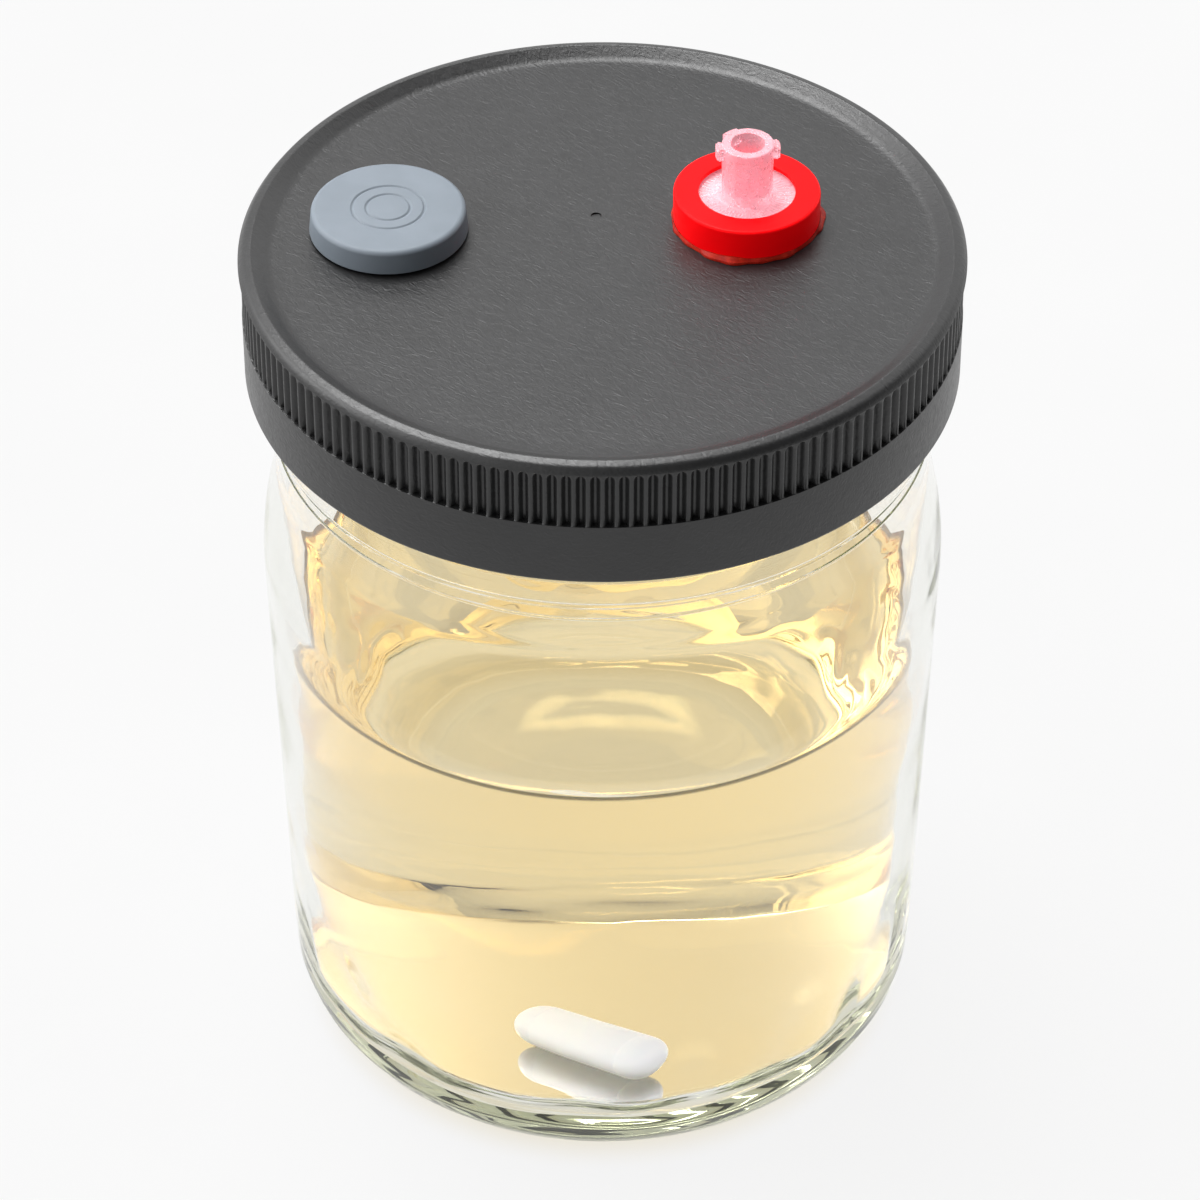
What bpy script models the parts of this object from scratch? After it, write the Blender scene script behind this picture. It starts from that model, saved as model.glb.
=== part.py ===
"""Liquid culture jar: a wide-mouth screw-top glass jar, part filled with clear broth, whose ribbed plastic lid
carries a self-healing injection port and a syringe filter that lets air through, with a stir bar on its floor.

Metres, +Z up. The origin is the middle of the base, on the surface that the jar stands on. The front is -Y.
The lid turns and climbs on a real thread, and the stir bar spins about the upright line through its middle.
"""

import math

import bmesh
import bpy

# Fits between pieces
CONTACT_GAP = 0.0003
THREAD_RADIAL_CLEARANCE = 0.00035
THREAD_FLANK_GAP = 0.0003
SPIN_CLEARANCE = 0.0008

# Glass jar: heights from the base up, finish and neck from the lip down
JAR_HEIGHT = 0.1187
BODY_FOOT_RADIUS = 0.0426
BODY_SHOULDER_RADIUS = 0.04474
GLASS_WALL = 0.0030
FLOOR_THICKNESS = 0.0052
HEEL_ROUND = 0.0105
FLOOR_CORNER_ROUND = 0.0100
BEARING_RING_WIDTH = 0.0042
PUSH_UP_HEIGHT = 0.0018
PUSH_UP_SLOPE = 0.0140
PUSH_UP_ROUND = 0.0800
SHOULDER_DROP = 0.0385
SHOULDER_ROUND = 0.0550
NECK_DROP = 0.0275
NECK_RADIUS = 0.0423
NECK_ROUND = 0.0120
LIP_ROUND = 0.0011
BEAD_RADIUS = 0.0431
BEAD_DROP = 0.0146
BEAD_HEIGHT = 0.0036
BEAD_ROUND = 0.0009
FINISH_RADIUS = 0.0412
FINISH_WALL = 0.0032

# Screw thread shared by jar and lid: four turns to the inch, right-handed
THREAD_PITCH = 0.00635
THREAD_DEPTH = 0.0015
THREAD_ROOT_SINK = 0.0006
THREAD_RUN_OUT_DEG = 28
JAR_THREAD_BASE_WIDTH = 0.0030
JAR_THREAD_CREST_WIDTH = 0.0012
JAR_THREAD_TOP_DROP = 0.0031
JAR_THREAD_TOP_DEG = 250
JAR_THREAD_SWEEP_DEG = 400
LID_THREAD_BASE_WIDTH = 0.0024
LID_THREAD_CREST_WIDTH = 0.0010
LID_THREAD_EDGE_RISE = 0.0022
LID_THREAD_SWEEP_DEG = 380

# Screw lid
PANEL_THICKNESS = 0.0020
LID_WALL = 0.00205
LID_DEPTH = 0.0181
RIM_HEIGHT = 0.0012
RIM_WIDTH = 0.0026
RIM_ROUND = 0.0017
ROLL_OVERHANG = 0.0002
RIB_COUNT = 164
RIB_DEPTH = 0.0006
RIB_TOP_DROP = 0.0017
RIB_LENGTH = 0.0078
RIB_END_SINK = 0.0002
BAND_PROUD = 0.0001
LID_EDGE_ROUND = 0.0006
LOCATING_RING_WALL = 0.0013
LOCATING_RING_HEIGHT = 0.0017

# Gasket between the glass lip and the lid's panel
GASKET_THICKNESS = 0.0015
GASKET_OVERREACH = 0.0004

# Self-healing injection port, a rubber plug pushed through the lid
PORT_INSET = 0.0138
PORT_BEARING_DEG = 171.2
PORT_FLANGE_RADIUS = 0.0101
PORT_FLANGE_DRAFT = 0.0003
PORT_FLANGE_HEIGHT = 0.0032
PORT_EDGE_ROUND = 0.0007
PORT_NECK_RADIUS = 0.0062
PORT_BARB_RADIUS = 0.0077
PORT_BARB_HEIGHT = 0.0024
PORT_WELL_RADIUS = 0.0042
PORT_WELL_DEPTH = 0.0020
PORT_GROOVE_WIDTH = 0.0005
PORT_GROOVE_DEPTH = 0.0003
PORT_GROOVE_RADII = (0.0028, 0.0049)

# Syringe filter: heights of its stack from the lid's panel up
FILTER_X = 0.0183
FILTER_Y = 0.0065
SEALANT_WIDTH = 0.0007
SEALANT_HEIGHT = 0.0006
RING_RADIUS = 0.00935
RING_OPENING_RADIUS = 0.00615
RING_WALL = 0.0011
RING_LIP_LOW = 0.0012
RING_LIP_TOP = 0.0005
RING_EDGE_ROUND = 0.0004
HALF_FLANGE_THICKNESS = 0.0006
MEMBRANE_THICKNESS = 0.00015
MEMBRANE_INSET = 0.0003

# Female luer fitting on the filter's inlet half
LUER_HEIGHT = 0.0080
LUER_RADIUS = 0.0032
LUER_FLARE = 0.0001
LUER_MOUTH_RADIUS = 0.00215
LUER_CONE_DEPTH = 0.0072
LUER_TAPER = 0.03
LUER_DRILLING_RADIUS = 0.0010
LUG_SPAN_RADIUS = 0.0041
LUG_HEIGHT = 0.0017
LUG_WIDTH = 0.0026
LUG_DROP = 0.0003
LUG_ROOT_SINK = 0.0004
LUG_ANGLES_DEG = (5, 185, 125)

# Male nozzle on the filter's outlet half
NOZZLE_COLLAR_RADIUS = 0.0028
NOZZLE_COLLAR_REACH = 0.0012
NOZZLE_TIP_RADIUS = 0.0020
NOZZLE_REACH = 0.0062
NOZZLE_BORE_RADIUS = 0.0010

# Culture broth and stir bar
BROTH_DEPTH = 0.0634
STIR_BAR_X = -0.0009
STIR_BAR_Y = -0.0160
STIR_BAR_YAW_DEG = -44
STIR_BAR_LENGTH = 0.0187
STIR_BAR_RADIUS = 0.00345
STIR_BAR_WALL = 0.0008
STIR_BAR_DOME_LENGTH = 0.0030
STIR_BAR_SPIGOT = 0.0012

# Facets of the round forms
JAR_SEGMENTS = 48
FITTING_SEGMENTS = 28
LUER_SEGMENTS = 20
STIR_BAR_SEGMENTS = 16
THREAD_STATIONS_PER_TURN = 36
DEGREES_PER_SMALL_ARC_STEP = 32
DEGREES_PER_LARGE_ARC_STEP = 15
LARGE_ROUND = 0.0040

# Most of an outline's side that the rounds at its ends may take up
SIDE_SHARE = 0.96

# Heights that follow from the sizes above
LIP_Z = JAR_HEIGHT
FLOOR_Z = FLOOR_THICKNESS
SHOULDER_Z = LIP_Z - SHOULDER_DROP
NECK_Z = LIP_Z - NECK_DROP
BEAD_TOP_Z = LIP_Z - BEAD_DROP
BEAD_LOW_Z = BEAD_TOP_Z - BEAD_HEIGHT
SEAL_Z = LIP_Z + CONTACT_GAP
PANEL_UNDER_Z = SEAL_Z + GASKET_THICKNESS + CONTACT_GAP
STIR_BAR_Z = FLOOR_Z + CONTACT_GAP + STIR_BAR_RADIUS

# Radii of the mouth and the lid that follow from the finish and its thread
MOUTH_RADIUS = FINISH_RADIUS - FINISH_WALL
LID_BORE_RADIUS = FINISH_RADIUS + THREAD_DEPTH + THREAD_RADIAL_CLEARANCE
RIB_ROOT_RADIUS = LID_BORE_RADIUS + LID_WALL
BAND_RADIUS = RIB_ROOT_RADIUS + RIB_DEPTH + BAND_PROUD
ROLL_RADIUS = BAND_RADIUS + ROLL_OVERHANG

# The injection port's place, inside the finish's edge
PORT_X = (FINISH_RADIUS - PORT_INSET) * math.cos(math.radians(PORT_BEARING_DEG))
PORT_Y = (FINISH_RADIUS - PORT_INSET) * math.sin(math.radians(PORT_BEARING_DEG))

# Heights of the lid above the underside of its panel
PANEL_TOP = PANEL_THICKNESS
CREST = PANEL_TOP + RIM_HEIGHT
LID_LOW = CREST - LID_DEPTH
RIB_TOP = CREST - RIB_TOP_DROP
RIB_LOW = RIB_TOP - RIB_LENGTH

# Heights of the filter's stack above the underside of the lid's panel
RING_LOW = PANEL_TOP + CONTACT_GAP
OUTLET_LOW = RING_LOW + RING_LIP_LOW + CONTACT_GAP
MEMBRANE_LOW = OUTLET_LOW + HALF_FLANGE_THICKNESS + CONTACT_GAP
INLET_LOW = MEMBRANE_LOW + MEMBRANE_THICKNESS + CONTACT_GAP
INLET_TOP = INLET_LOW + HALF_FLANGE_THICKNESS
RING_TOP = INLET_TOP + CONTACT_GAP + RING_LIP_TOP
HALF_FLANGE_RADIUS = RING_RADIUS - RING_WALL - CONTACT_GAP


def clear_scene():
    """Remove whatever objects the file holds."""
    for leftover in list(bpy.data.objects):
        bpy.data.objects.remove(leftover, do_unlink=True)


def linear(channel):
    """One colour channel of 0 to 255, as the linear value that a shader takes."""
    value = channel / 255
    if value <= 0.04045:
        return value / 12.92
    return ((value + 0.055) / 1.055) ** 2.4


def make_material(name, rgb, roughness, metallic=0.0, transmission=0.0, ior=1.45, alpha=1.0):
    """A Principled material from a colour as the eye reads it."""
    material = bpy.data.materials.new(name)
    material.use_nodes = True
    shader = material.node_tree.nodes["Principled BSDF"]
    shader.inputs["Base Color"].default_value = (*[linear(channel) for channel in rgb], 1.0)
    shader.inputs["Roughness"].default_value = roughness
    shader.inputs["Metallic"].default_value = metallic
    shader.inputs["Transmission Weight"].default_value = transmission
    shader.inputs["IOR"].default_value = ior
    shader.inputs["Alpha"].default_value = alpha
    material.diffuse_color = (*[linear(channel) for channel in rgb], alpha)
    return material


def make_empty(name, place, parent=None):
    """An empty that carries the pieces of one moving body, on that body's axis."""
    empty = bpy.data.objects.new(name, None)
    empty.empty_display_size = 0.01
    empty.location = place
    empty.parent = parent
    bpy.context.collection.objects.link(empty)
    return empty


def add_object(name, bm, parent, material=None, place=(0, 0, 0)):
    """Turn a bmesh into an object with its faces pointing out and its round sides shaded smooth."""
    bmesh.ops.recalc_face_normals(bm, faces=bm.faces)
    mesh = bpy.data.meshes.new(name)
    bm.to_mesh(mesh)
    bm.free()
    mesh.shade_smooth()
    mesh.set_sharp_from_angle(angle=math.radians(35))
    piece = bpy.data.objects.new(name, mesh)
    piece.location = place
    piece.parent = parent
    bpy.context.collection.objects.link(piece)
    if material:
        mesh.materials.append(material)
    return piece


def hide_tool(tool):
    """Show a shape that only cuts or joins another one as wire, and keep it out of renders."""
    tool.display_type = "WIRE"
    tool.hide_render = True


def join_with(piece, tool, operation):
    """Cut a tool out of a piece, or fuse it on, with an exact Boolean."""
    hide_tool(tool)
    boolean = piece.modifiers.new(tool.name, "BOOLEAN")
    boolean.operation = operation
    boolean.solver = "EXACT"
    boolean.object = tool


def rounded_outline(corners):
    """An outline of (radius, height) points from corners of (radius, height, round).

    Each corner with a round becomes an arc that touches both its sides. A round that is too big for its sides
    is limited by them: by half a side that has a round at its other end too, and by a whole side otherwise.
    """
    outline = []
    count = len(corners)
    for index, (x, z, fillet) in enumerate(corners):
        if fillet == 0:
            outline.append((x, z))
            continue
        before = corners[index - 1]
        after = corners[(index + 1) % count]
        to_before = (before[0] - x, before[1] - z)
        to_after = (after[0] - x, after[1] - z)
        length_before = math.hypot(*to_before)
        length_after = math.hypot(*to_after)
        unit_before = (to_before[0] / length_before, to_before[1] / length_before)
        unit_after = (to_after[0] / length_after, to_after[1] / length_after)
        cosine = unit_before[0] * unit_after[0] + unit_before[1] * unit_after[1]
        corner_angle = math.acos(max(-1.0, min(1.0, cosine)))
        room_before = length_before * (SIDE_SHARE if before[2] == 0 else SIDE_SHARE / 2)
        room_after = length_after * (SIDE_SHARE if after[2] == 0 else SIDE_SHARE / 2)
        tangent = min(fillet / math.tan(corner_angle / 2), room_before, room_after)
        radius = tangent * math.tan(corner_angle / 2)
        reach = radius / math.sin(corner_angle / 2)
        middle = (unit_before[0] + unit_after[0], unit_before[1] + unit_after[1])
        middle_length = math.hypot(*middle)
        centre = (x + middle[0] / middle_length * reach, z + middle[1] / middle_length * reach)
        start = (x + unit_before[0] * tangent - centre[0], z + unit_before[1] * tangent - centre[1])
        end = (x + unit_after[0] * tangent - centre[0], z + unit_after[1] * tangent - centre[1])
        first = math.atan2(start[1], start[0])
        turn = math.atan2(end[1], end[0]) - first
        turn = (turn + math.pi) % (2 * math.pi) - math.pi
        if fillet > LARGE_ROUND:
            steps = max(3, round(abs(math.degrees(turn)) / DEGREES_PER_LARGE_ARC_STEP))
        else:
            steps = max(1, round(abs(math.degrees(turn)) / DEGREES_PER_SMALL_ARC_STEP))
        for step in range(steps + 1):
            angle = first + turn * step / steps
            outline.append((centre[0] + radius * math.cos(angle), centre[1] + radius * math.sin(angle)))
    return outline


def turn_solid(corners, segments, axis="Z"):
    """A closed solid of revolution: the outline spun once round the axis and welded there."""
    bm = bmesh.new()
    outline = rounded_outline(corners)
    if axis == "Z":
        points = [bm.verts.new((radius, 0, height)) for radius, height in outline]
        spin_axis = (0, 0, 1)
    else:
        points = [bm.verts.new((height, radius, 0)) for radius, height in outline]
        spin_axis = (1, 0, 0)
    edges = []
    for index, point in enumerate(points):
        following = points[(index + 1) % len(points)]
        on_axis = outline[index][0] == 0 and outline[(index + 1) % len(outline)][0] == 0
        if not on_axis:
            edges.append(bm.edges.new((point, following)))
    bmesh.ops.spin(
        bm,
        geom=points + edges,
        cent=(0, 0, 0),
        axis=spin_axis,
        angle=2 * math.pi,
        steps=segments,
        use_merge=True,
    )
    bmesh.ops.remove_doubles(bm, verts=bm.verts, dist=0.000001)
    return bm


def body_radius_at(height):
    """Outer radius of the jar's straight, slightly tapered body at a height."""
    share = height / SHOULDER_Z
    return BODY_FOOT_RADIUS + (BODY_SHOULDER_RADIUS - BODY_FOOT_RADIUS) * share


def glass_inner_corners(inset):
    """Corners of the jar's floor and inner wall from the shoulder down, moved in by an inset."""
    floor_height = FLOOR_Z + inset
    wall = GLASS_WALL + inset
    return [
        (body_radius_at(floor_height) - wall, floor_height, FLOOR_CORNER_ROUND),
        (0, floor_height, 0),
    ]


def jar_corners():
    """The jar's whole outline: up the outside, over the lip and down to the floor, then the push-up below."""
    ring_outer = BODY_FOOT_RADIUS - HEEL_ROUND
    ring_inner = ring_outer - BEARING_RING_WIDTH
    return [
        (ring_inner, 0, 0),
        (BODY_FOOT_RADIUS, 0, HEEL_ROUND),
        (BODY_SHOULDER_RADIUS, SHOULDER_Z, SHOULDER_ROUND),
        (NECK_RADIUS, NECK_Z, NECK_ROUND),
        (NECK_RADIUS, BEAD_LOW_Z - BEAD_ROUND, BEAD_ROUND),
        (BEAD_RADIUS, BEAD_LOW_Z, BEAD_ROUND),
        (BEAD_RADIUS, BEAD_TOP_Z, BEAD_ROUND),
        (FINISH_RADIUS, BEAD_TOP_Z + BEAD_ROUND, BEAD_ROUND),
        (FINISH_RADIUS, LIP_Z, LIP_ROUND),
        (MOUTH_RADIUS, LIP_Z, LIP_ROUND),
        (NECK_RADIUS - GLASS_WALL, NECK_Z, NECK_ROUND),
        (BODY_SHOULDER_RADIUS - GLASS_WALL, SHOULDER_Z, SHOULDER_ROUND),
        *glass_inner_corners(0),
        (0, PUSH_UP_HEIGHT, 0),
        (ring_inner - PUSH_UP_SLOPE, PUSH_UP_HEIGHT, PUSH_UP_ROUND),
    ]


def thread_height(angle_deg):
    """Height of the middle of the jar's thread at an angle, counted on round the axis."""
    top_height = LIP_Z - JAR_THREAD_TOP_DROP
    return top_height + THREAD_PITCH * (angle_deg - JAR_THREAD_TOP_DEG) / 360


def thread_ridge(wall_radius, outward, widths, start_deg, sweep_deg, height_shift):
    """A helical ridge of four-sided section that grows out of a wall and dies back into it at both ends."""
    base_width, crest_width = widths
    side = 1 if outward else -1
    root_radius = wall_radius - side * THREAD_ROOT_SINK
    stations = round(THREAD_STATIONS_PER_TURN * sweep_deg / 360)
    bm = bmesh.new()
    rings = []
    for station in range(stations + 1):
        angle_deg = start_deg + sweep_deg * station / stations
        from_end = min(angle_deg - start_deg, start_deg + sweep_deg - angle_deg)
        growth = min(1.0, from_end / THREAD_RUN_OUT_DEG)
        crest_radius = wall_radius + side * (THREAD_DEPTH * growth - THREAD_ROOT_SINK * (1 - growth) / 2)
        middle = thread_height(angle_deg) + height_shift
        section = (
            (root_radius, middle - base_width / 2),
            (crest_radius, middle - crest_width / 2),
            (crest_radius, middle + crest_width / 2),
            (root_radius, middle + base_width / 2),
        )
        angle = math.radians(angle_deg)
        ring = [bm.verts.new((r * math.cos(angle), r * math.sin(angle), z)) for r, z in section]
        rings.append(ring)
    for low, high in zip(rings, rings[1:]):
        for index in range(4):
            following = (index + 1) % 4
            bm.faces.new((low[index], low[following], high[following], high[index]))
    bm.faces.new(rings[0])
    bm.faces.new(rings[-1])
    return bm


def make_glass_jar(parent, material):
    """The glass jar with its thread, carrying bead, thick floor and pushed-up base."""
    jar = add_object("glass_jar", turn_solid(jar_corners(), JAR_SEGMENTS), parent, material)
    start_deg = JAR_THREAD_TOP_DEG - JAR_THREAD_SWEEP_DEG
    widths = (JAR_THREAD_BASE_WIDTH, JAR_THREAD_CREST_WIDTH)
    ridge = thread_ridge(FINISH_RADIUS, True, widths, start_deg, JAR_THREAD_SWEEP_DEG, 0)
    join_with(jar, add_object("jar_thread_tool", ridge, parent), "UNION")


def make_culture_broth(parent, material):
    """The broth, clear of the glass, with a room in its underside for the stir bar's whole turn."""
    level = FLOOR_Z + BROTH_DEPTH
    wall = GLASS_WALL + CONTACT_GAP
    corners = [
        (0, level, 0),
        (body_radius_at(level) - wall, level, 0),
        *glass_inner_corners(CONTACT_GAP),
    ]
    broth = add_object("culture_broth", turn_solid(corners, JAR_SEGMENTS), parent, material)
    room_radius = STIR_BAR_LENGTH / 2 + SPIN_CLEARANCE
    room_top = STIR_BAR_RADIUS + SPIN_CLEARANCE
    room_low = -STIR_BAR_RADIUS - 4 * CONTACT_GAP
    room_corners = [
        (0, room_top, 0),
        (0, room_low, 0),
        (room_radius, room_low, 0),
        (room_radius, room_top, STIR_BAR_RADIUS / 2),
    ]
    place = (STIR_BAR_X, STIR_BAR_Y, STIR_BAR_Z)
    room = add_object("stir_bar_room_tool", turn_solid(room_corners, FITTING_SEGMENTS), parent, None, place)
    join_with(broth, room, "DIFFERENCE")


def make_lid_gasket(parent, material):
    """A flat silicone ring that seals the glass lip, with its underside at its parent's origin."""
    inner = MOUTH_RADIUS - GASKET_OVERREACH
    outer = LID_BORE_RADIUS - CONTACT_GAP
    corners = [
        (inner, 0, 0),
        (outer, 0, 0),
        (outer, GASKET_THICKNESS, 0),
        (inner, GASKET_THICKNESS, 0),
    ]
    add_object("lid_gasket", turn_solid(corners, JAR_SEGMENTS), parent, material)


def lid_corners():
    """The lid's outline, from the outer edge of its skirt up, across the panel and back down inside."""
    panel_radius = ROLL_RADIUS - RIM_ROUND - RIM_WIDTH / 2
    ring_outer = MOUTH_RADIUS - GASKET_OVERREACH - CONTACT_GAP
    ring_inner = ring_outer - LOCATING_RING_WALL
    return [
        (LID_BORE_RADIUS, LID_LOW, LID_EDGE_ROUND),
        (BAND_RADIUS, LID_LOW, LID_EDGE_ROUND),
        (BAND_RADIUS, RIB_LOW, 0),
        (RIB_ROOT_RADIUS, RIB_LOW, 0),
        (RIB_ROOT_RADIUS, RIB_TOP, 0),
        (ROLL_RADIUS, RIB_TOP, 0),
        (ROLL_RADIUS, CREST, RIM_ROUND),
        (ROLL_RADIUS - RIM_WIDTH, CREST, RIM_ROUND / 2),
        (panel_radius - RIM_HEIGHT, PANEL_TOP, RIM_ROUND / 2),
        (0, PANEL_TOP, 0),
        (0, 0, 0),
        (ring_inner, 0, 0),
        (ring_inner, -LOCATING_RING_HEIGHT, 0),
        (ring_outer, -LOCATING_RING_HEIGHT, 0),
        (ring_outer, 0, 0),
        (LID_BORE_RADIUS, 0, 0),
    ]


def rib_ring():
    """The grip: a ring of upright V ribs, sunk into the skirt and into the ledges above and below it."""
    root = RIB_ROOT_RADIUS + BAND_PROUD / 2
    crest = RIB_ROOT_RADIUS + RIB_DEPTH
    core = RIB_ROOT_RADIUS - LID_WALL / 3
    heights = (RIB_LOW - RIB_END_SINK, RIB_TOP + RIB_END_SINK)
    columns = 2 * RIB_COUNT
    bm = bmesh.new()
    loops = []
    for height in heights:
        outer_loop = []
        inner_loop = []
        for column in range(columns):
            angle = 2 * math.pi * column / columns
            radius = crest if column % 2 == 0 else root
            outer_loop.append(bm.verts.new((radius * math.cos(angle), radius * math.sin(angle), height)))
            inner_loop.append(bm.verts.new((core * math.cos(angle), core * math.sin(angle), height)))
        loops.append((outer_loop, inner_loop))
    (low_outer, low_inner), (high_outer, high_inner) = loops
    for column in range(columns):
        following = (column + 1) % columns
        bm.faces.new((low_outer[column], low_outer[following], high_outer[following], high_outer[column]))
        bm.faces.new((low_inner[column], high_inner[column], high_inner[following], low_inner[following]))
        bm.faces.new((high_outer[column], high_outer[following], high_inner[following], high_inner[column]))
        bm.faces.new((low_outer[column], low_inner[column], low_inner[following], low_outer[following]))
    return bm


def hole_tool(name, radius, parent, place):
    """A round tool that goes right through the lid's panel."""
    corners = [
        (0, -PANEL_THICKNESS, 0),
        (radius, -PANEL_THICKNESS, 0),
        (radius, 2 * PANEL_THICKNESS, 0),
        (0, 2 * PANEL_THICKNESS, 0),
    ]
    return add_object(name, turn_solid(corners, FITTING_SEGMENTS), parent, None, place)


def make_lid_cap(parent, material):
    """The screw lid: recessed panel, rolled rim, ribbed grip, plain band, inner thread and two holes."""
    lid = add_object("lid_cap", turn_solid(lid_corners(), JAR_SEGMENTS), parent, material)
    join_with(lid, add_object("lid_ribs_tool", rib_ring(), parent), "UNION")

    jar_middle_width = (JAR_THREAD_BASE_WIDTH + JAR_THREAD_CREST_WIDTH) / 2
    lid_middle_width = (LID_THREAD_BASE_WIDTH + LID_THREAD_CREST_WIDTH) / 2
    drop = (jar_middle_width + lid_middle_width) / 2 + THREAD_FLANK_GAP
    start_height = PANEL_UNDER_Z + LID_LOW + LID_THREAD_EDGE_RISE
    start_deg = JAR_THREAD_TOP_DEG + 360 * (start_height + drop - thread_height(JAR_THREAD_TOP_DEG)) / THREAD_PITCH
    widths = (LID_THREAD_BASE_WIDTH, LID_THREAD_CREST_WIDTH)
    ridge = thread_ridge(LID_BORE_RADIUS, False, widths, start_deg, LID_THREAD_SWEEP_DEG, -drop - PANEL_UNDER_Z)
    join_with(lid, add_object("lid_thread_tool", ridge, parent), "UNION")

    port_hole_radius = PORT_NECK_RADIUS + CONTACT_GAP
    join_with(lid, hole_tool("port_hole_tool", port_hole_radius, parent, (PORT_X, PORT_Y, 0)), "DIFFERENCE")
    filter_hole_radius = NOZZLE_COLLAR_RADIUS + CONTACT_GAP
    join_with(lid, hole_tool("filter_hole_tool", filter_hole_radius, parent, (FILTER_X, FILTER_Y, 0)), "DIFFERENCE")


def make_injection_port(parent, material):
    """A rubber plug: flange with two target grooves, neck through the lid, and a barb with a needle well."""
    flange_low = PANEL_TOP + CONTACT_GAP
    flange_top = flange_low + PORT_FLANGE_HEIGHT
    flange_top_radius = PORT_FLANGE_RADIUS - PORT_FLANGE_DRAFT
    barb_low = -CONTACT_GAP - PORT_BARB_HEIGHT
    grooves = []
    for middle in reversed(PORT_GROOVE_RADII):
        grooves.append((middle + PORT_GROOVE_WIDTH / 2, flange_top, 0))
        grooves.append((middle, flange_top - PORT_GROOVE_DEPTH, 0))
        grooves.append((middle - PORT_GROOVE_WIDTH / 2, flange_top, 0))
    corners = [
        (0, barb_low + PORT_WELL_DEPTH, 0),
        (PORT_WELL_RADIUS, barb_low + PORT_WELL_DEPTH, 0),
        (PORT_WELL_RADIUS, barb_low, 0),
        (PORT_BARB_RADIUS, barb_low, PORT_EDGE_ROUND),
        (PORT_BARB_RADIUS, -CONTACT_GAP, 0),
        (PORT_NECK_RADIUS, -CONTACT_GAP, 0),
        (PORT_NECK_RADIUS, flange_low, 0),
        (PORT_FLANGE_RADIUS, flange_low, 0),
        (flange_top_radius, flange_top, PORT_EDGE_ROUND),
        *grooves,
        (0, flange_top, 0),
    ]
    add_object("injection_port", turn_solid(corners, FITTING_SEGMENTS), parent, material, (PORT_X, PORT_Y, 0))


def make_filter_sealant(parent, material, place):
    """The bead of silicone sealant squeezed out round the filter's foot."""
    inner = RING_RADIUS + CONTACT_GAP
    corners = [
        (inner, RING_LOW, 0),
        (inner + SEALANT_WIDTH, RING_LOW, 0),
        (inner + SEALANT_WIDTH / 2, RING_LOW + SEALANT_HEIGHT * 0.8, 0),
        (inner, RING_LOW + SEALANT_HEIGHT, 0),
    ]
    add_object("filter_sealant", turn_solid(corners, FITTING_SEGMENTS), parent, material, place)


def make_filter_ring(parent, material, place):
    """The ring moulded round both halves of the filter, with a lip over each."""
    channel_radius = RING_RADIUS - RING_WALL
    channel_low = RING_LOW + RING_LIP_LOW
    channel_top = RING_TOP - RING_LIP_TOP
    corners = [
        (RING_OPENING_RADIUS, RING_LOW, 0),
        (RING_RADIUS, RING_LOW, RING_EDGE_ROUND),
        (RING_RADIUS, RING_TOP, RING_EDGE_ROUND),
        (RING_OPENING_RADIUS, RING_TOP, 0),
        (RING_OPENING_RADIUS, channel_top, 0),
        (channel_radius, channel_top, 0),
        (channel_radius, channel_low, 0),
        (RING_OPENING_RADIUS, channel_low, 0),
    ]
    add_object("filter_ring", turn_solid(corners, FITTING_SEGMENTS), parent, material, place)


def luer_lug(angle_deg):
    """One lug of the luer lock: a short block with a round outer side, sunk into the tube."""
    top = INLET_TOP + LUER_HEIGHT - LUG_DROP
    low = top - LUG_HEIGHT
    inner = LUER_RADIUS - LUG_ROOT_SINK
    half_angle = LUG_WIDTH / (2 * LUG_SPAN_RADIUS)
    steps = 3
    bm = bmesh.new()
    loops = []
    for height in (low, top):
        loop = []
        for step in range(steps + 1):
            angle = math.radians(angle_deg) + half_angle * (2 * step / steps - 1)
            loop.append(bm.verts.new((LUG_SPAN_RADIUS * math.cos(angle), LUG_SPAN_RADIUS * math.sin(angle), height)))
        for side in (1, -1):
            angle = math.radians(angle_deg) + side * half_angle
            loop.append(bm.verts.new((inner * math.cos(angle), inner * math.sin(angle), height)))
        loops.append(loop)
    low_loop, high_loop = loops
    bm.faces.new(low_loop)
    bm.faces.new(high_loop)
    for index in range(len(low_loop)):
        following = (index + 1) % len(low_loop)
        bm.faces.new((low_loop[index], low_loop[following], high_loop[following], high_loop[index]))
    return bm


def make_filter_inlet(parent, material, place):
    """The filter's upper half: a flange inside the ring and a female luer tube with lugs."""
    rim = INLET_TOP + LUER_HEIGHT
    cone_low = rim - LUER_CONE_DEPTH
    cone_low_radius = LUER_MOUTH_RADIUS - LUER_TAPER * LUER_CONE_DEPTH
    corners = [
        (LUER_DRILLING_RADIUS, INLET_LOW, 0),
        (HALF_FLANGE_RADIUS, INLET_LOW, 0),
        (HALF_FLANGE_RADIUS, INLET_TOP, 0),
        (LUER_RADIUS, INLET_TOP, CONTACT_GAP),
        (LUER_RADIUS + LUER_FLARE, rim, CONTACT_GAP / 2),
        (LUER_MOUTH_RADIUS, rim, 0),
        (cone_low_radius, cone_low, 0),
        (LUER_DRILLING_RADIUS, cone_low, 0),
    ]
    inlet = add_object("filter_inlet", turn_solid(corners, LUER_SEGMENTS), parent, material, place)
    for number, angle_deg in enumerate(LUG_ANGLES_DEG, start=1):
        join_with(inlet, add_object(f"luer_lug_tool_{number}", luer_lug(angle_deg), parent, None, place), "UNION")


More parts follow.
